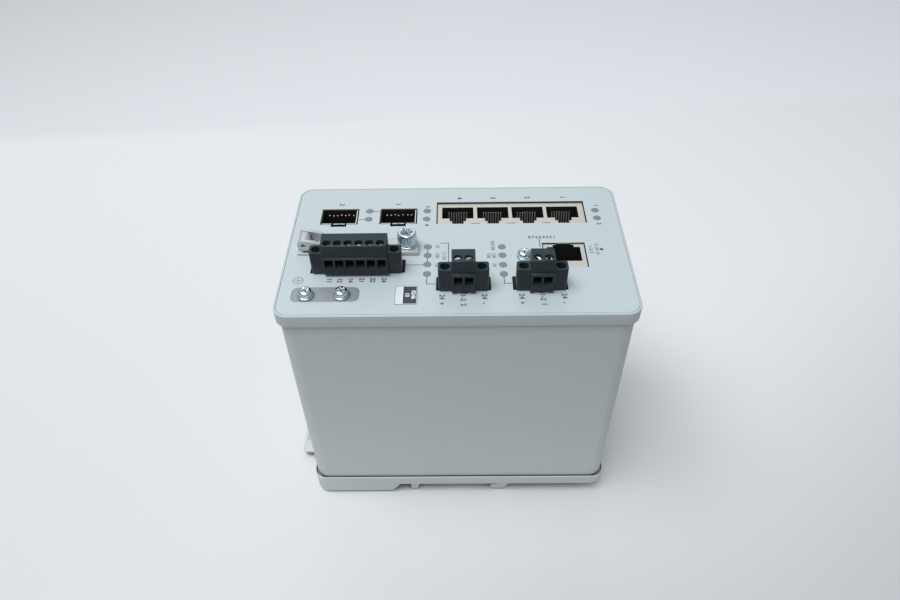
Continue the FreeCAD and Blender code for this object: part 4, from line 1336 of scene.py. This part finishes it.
def along(direction):
    """Distance along a direction of the floor."""
    node = paper_nodes.new("ShaderNodeVectorMath")
    node.operation = "DOT_PRODUCT"
    node.inputs[1].default_value = direction
    paper_links.new(paper_place.outputs["Object"], node.inputs[0])
    return node.outputs["Value"]


def away_from(x, y, squeeze):
    """Distance from a point of the floor, with Y counted `squeeze` times."""
    offset = paper_nodes.new("ShaderNodeVectorMath")
    offset.operation = "MULTIPLY_ADD"
    offset.inputs[1].default_value = (1.0, squeeze, 0.0)
    offset.inputs[2].default_value = (-x, -y * squeeze, 0.0)
    length = paper_nodes.new("ShaderNodeVectorMath")
    length.operation = "LENGTH"
    paper_links.new(paper_place.outputs["Object"], offset.inputs[0])
    paper_links.new(offset.outputs["Vector"], length.inputs[0])
    return length.outputs["Value"]


def fade_to(factor, first, second):
    """The first colour where the factor is 0, the second where it is 1."""
    return mix_colours(paper_nodes, paper_links, factor, first, second)


def darken(colour, factor, amount):
    """Multiplies a colour by `amount` where the factor is 1."""
    mix = paper_nodes.new("ShaderNodeMix")
    mix.data_type = "RGBA"
    mix.blend_type = "MULTIPLY"
    paper_links.new(factor, mix.inputs["Factor"])
    paper_links.new(colour, mix.inputs["A"])
    mix.inputs["B"].default_value = (amount, amount, amount, 1.0)
    return mix.outputs["Result"]


print("floor helpers ready")

# %% Floor shading
PAPER = (0.875, 0.896, 0.912)
# Paper behind the fold: painted shade, darker on the left.
BACK_LEFT, BACK_RIGHT = (0.652, 0.670, 0.696), (0.886, 0.910, 0.945)
TO_BACK = (-0.0725, 0.9974, 0.0)
# Direction of the painted shadow towards the near right.
TO_NEAR_RIGHT = (0.6, -0.8, 0.0)
FOLD_START, FOLD_END = 0.278, 0.300

# Painted fall-off: greyer with distance from a point behind the switch.
fall_off = smooth_ramp(away_from(0.185, 0.79, 0.439), 0.107, 0.60)
paper_colour = fade_to(fall_off, PAPER, [c * 0.754 for c in PAPER])
# Painted shadow towards the near right.
paper_colour = darken(paper_colour, smooth_ramp(along(TO_NEAR_RIGHT), 0.005, 0.219), 0.72)
# Towards the back the painted steps fade to the plain paper.
rise = along(TO_BACK)
catch_light = smooth_ramp(rise, -0.146, 0.432, 0.922)
paper_colour = fade_to(catch_light, paper_colour, PAPER)
# Painted shade on the paper behind the fold.
sideways = smooth_ramp(along((1.0, 0.0, 0.0)), -0.964, 0.376)
back_colour = fade_to(sideways, BACK_LEFT, BACK_RIGHT)
paper_colour = fade_to(smooth_ramp(rise, FOLD_START, FOLD_END), paper_colour, back_colour)
# Painted contact shadow under the switch.
contact = group_node(paper_nodes, CREVICE, Reach=12 * MM, Floor=0.0, Open=0.34)
covered = spread(paper_nodes, paper_links, contact.outputs["Factor"], 1.0, 0.0)
paper_colour = darken(paper_colour, covered, 0.1)
paper_links.new(paper_colour, paper_shader.inputs["Base Color"])
print("paper turns", FOLD_START, "m behind the middle")

# %% [markdown]
# ## The light
# One broad lamp hangs above, to the left and slightly in front. It gives the front face a soft
# even light and leaves the long side darker, brightened from below by the floor. The world fills
# the rest, a little darker near the horizon, with a wide bright patch at the back: plated screws
# show what is around them, and without it they would look darker.

# %% World
WORLD_STRENGTH = 0.36
HORIZON, ZENITH = (0.80, 0.84, 0.88, 1.0), (0.92, 0.96, 1.0, 1.0)
PATCH_COLOUR = (2.9, 3.0, 3.1)
TO_PATCH = (-0.1, 0.76, 0.64)
world = bpy.data.worlds.new("studio")
scene.world = world
world.use_nodes = True
world_nodes, world_links = world.node_tree.nodes, world.node_tree.links
background = world_nodes["Background"]
background.inputs["Strength"].default_value = WORLD_STRENGTH
sky_place = world_nodes.new("ShaderNodeTexCoord")
sky_axes = world_nodes.new("ShaderNodeSeparateXYZ")
sky_ramp = world_nodes.new("ShaderNodeValToRGB")
low_stop, high_stop = sky_ramp.color_ramp.elements
low_stop.position, low_stop.color = 0.0, HORIZON
high_stop.position, high_stop.color = 0.9, ZENITH
world_links.new(sky_place.outputs["Generated"], sky_axes.inputs["Vector"])
world_links.new(sky_axes.outputs["Z"], sky_ramp.inputs["Fac"])
towards = world_nodes.new("ShaderNodeVectorMath")
towards.operation = "DOT_PRODUCT"
towards.inputs[1].default_value = TO_PATCH
world_links.new(sky_place.outputs["Generated"], towards.inputs[0])
patch = world_nodes.new("ShaderNodeMapRange")
patch.interpolation_type = "SMOOTHSTEP"
patch.inputs["From Min"].default_value = 0.86
patch.inputs["From Max"].default_value = 0.97
world_links.new(towards.outputs["Value"], patch.inputs["Value"])
sky_colour = mix_colours(
    world_nodes, world_links, patch.outputs["Result"], sky_ramp.outputs["Color"], PATCH_COLOUR
)
world_links.new(sky_colour, background.inputs["Color"])
print("world strength", WORLD_STRENGTH)

# %% Lamp
KEY_PLACE, KEY_AIM = Vector((-0.28, -0.24, 1.1)), Vector((0, 0, 0.05))
key_light = bpy.data.lights.new("key", "AREA")
key_light.shape = "RECTANGLE"
key_light.size, key_light.size_y = 1.0, 0.45
key_light.energy = 10.2
key = bpy.data.objects.new("key", key_light)
key.location = KEY_PLACE
key.rotation_euler = (KEY_AIM - KEY_PLACE).to_track_quat("-Z", "Y").to_euler()
scene.collection.objects.link(key)

# %% [markdown]
# ## The camera
# The camera looks down on the long side at about 45 degrees, from close by, so the near edges are
# clearly larger than the far ones. Its place, turn and lens were found by a numerical fit to the
# object's corners, which is why they aren't round numbers. Colours are shown by the plain Standard
# view, so that a finish looks much as its numbers say.

# %% Camera
CAMERA_PLACE = Vector((0.191, -211.27, 289.17)) * MM
CAMERA_TURN = (0.79148, 0.01340, 0.00163)
camera_data = bpy.data.cameras.new("camera")
camera_data.sensor_width = 36.0
camera_data.lens = 28.836
camera_data.clip_start, camera_data.clip_end = 0.01, 20.0
camera = bpy.data.objects.new("camera", camera_data)
camera.location = CAMERA_PLACE
camera.rotation_euler = CAMERA_TURN
scene.collection.objects.link(camera)
scene.camera = camera
scene.view_settings.view_transform = "Standard"
print("camera", [round(v / MM, 1) for v in camera.location])

# %% [markdown]
# ## The end

# %% Finish
bpy.context.view_layer.update()
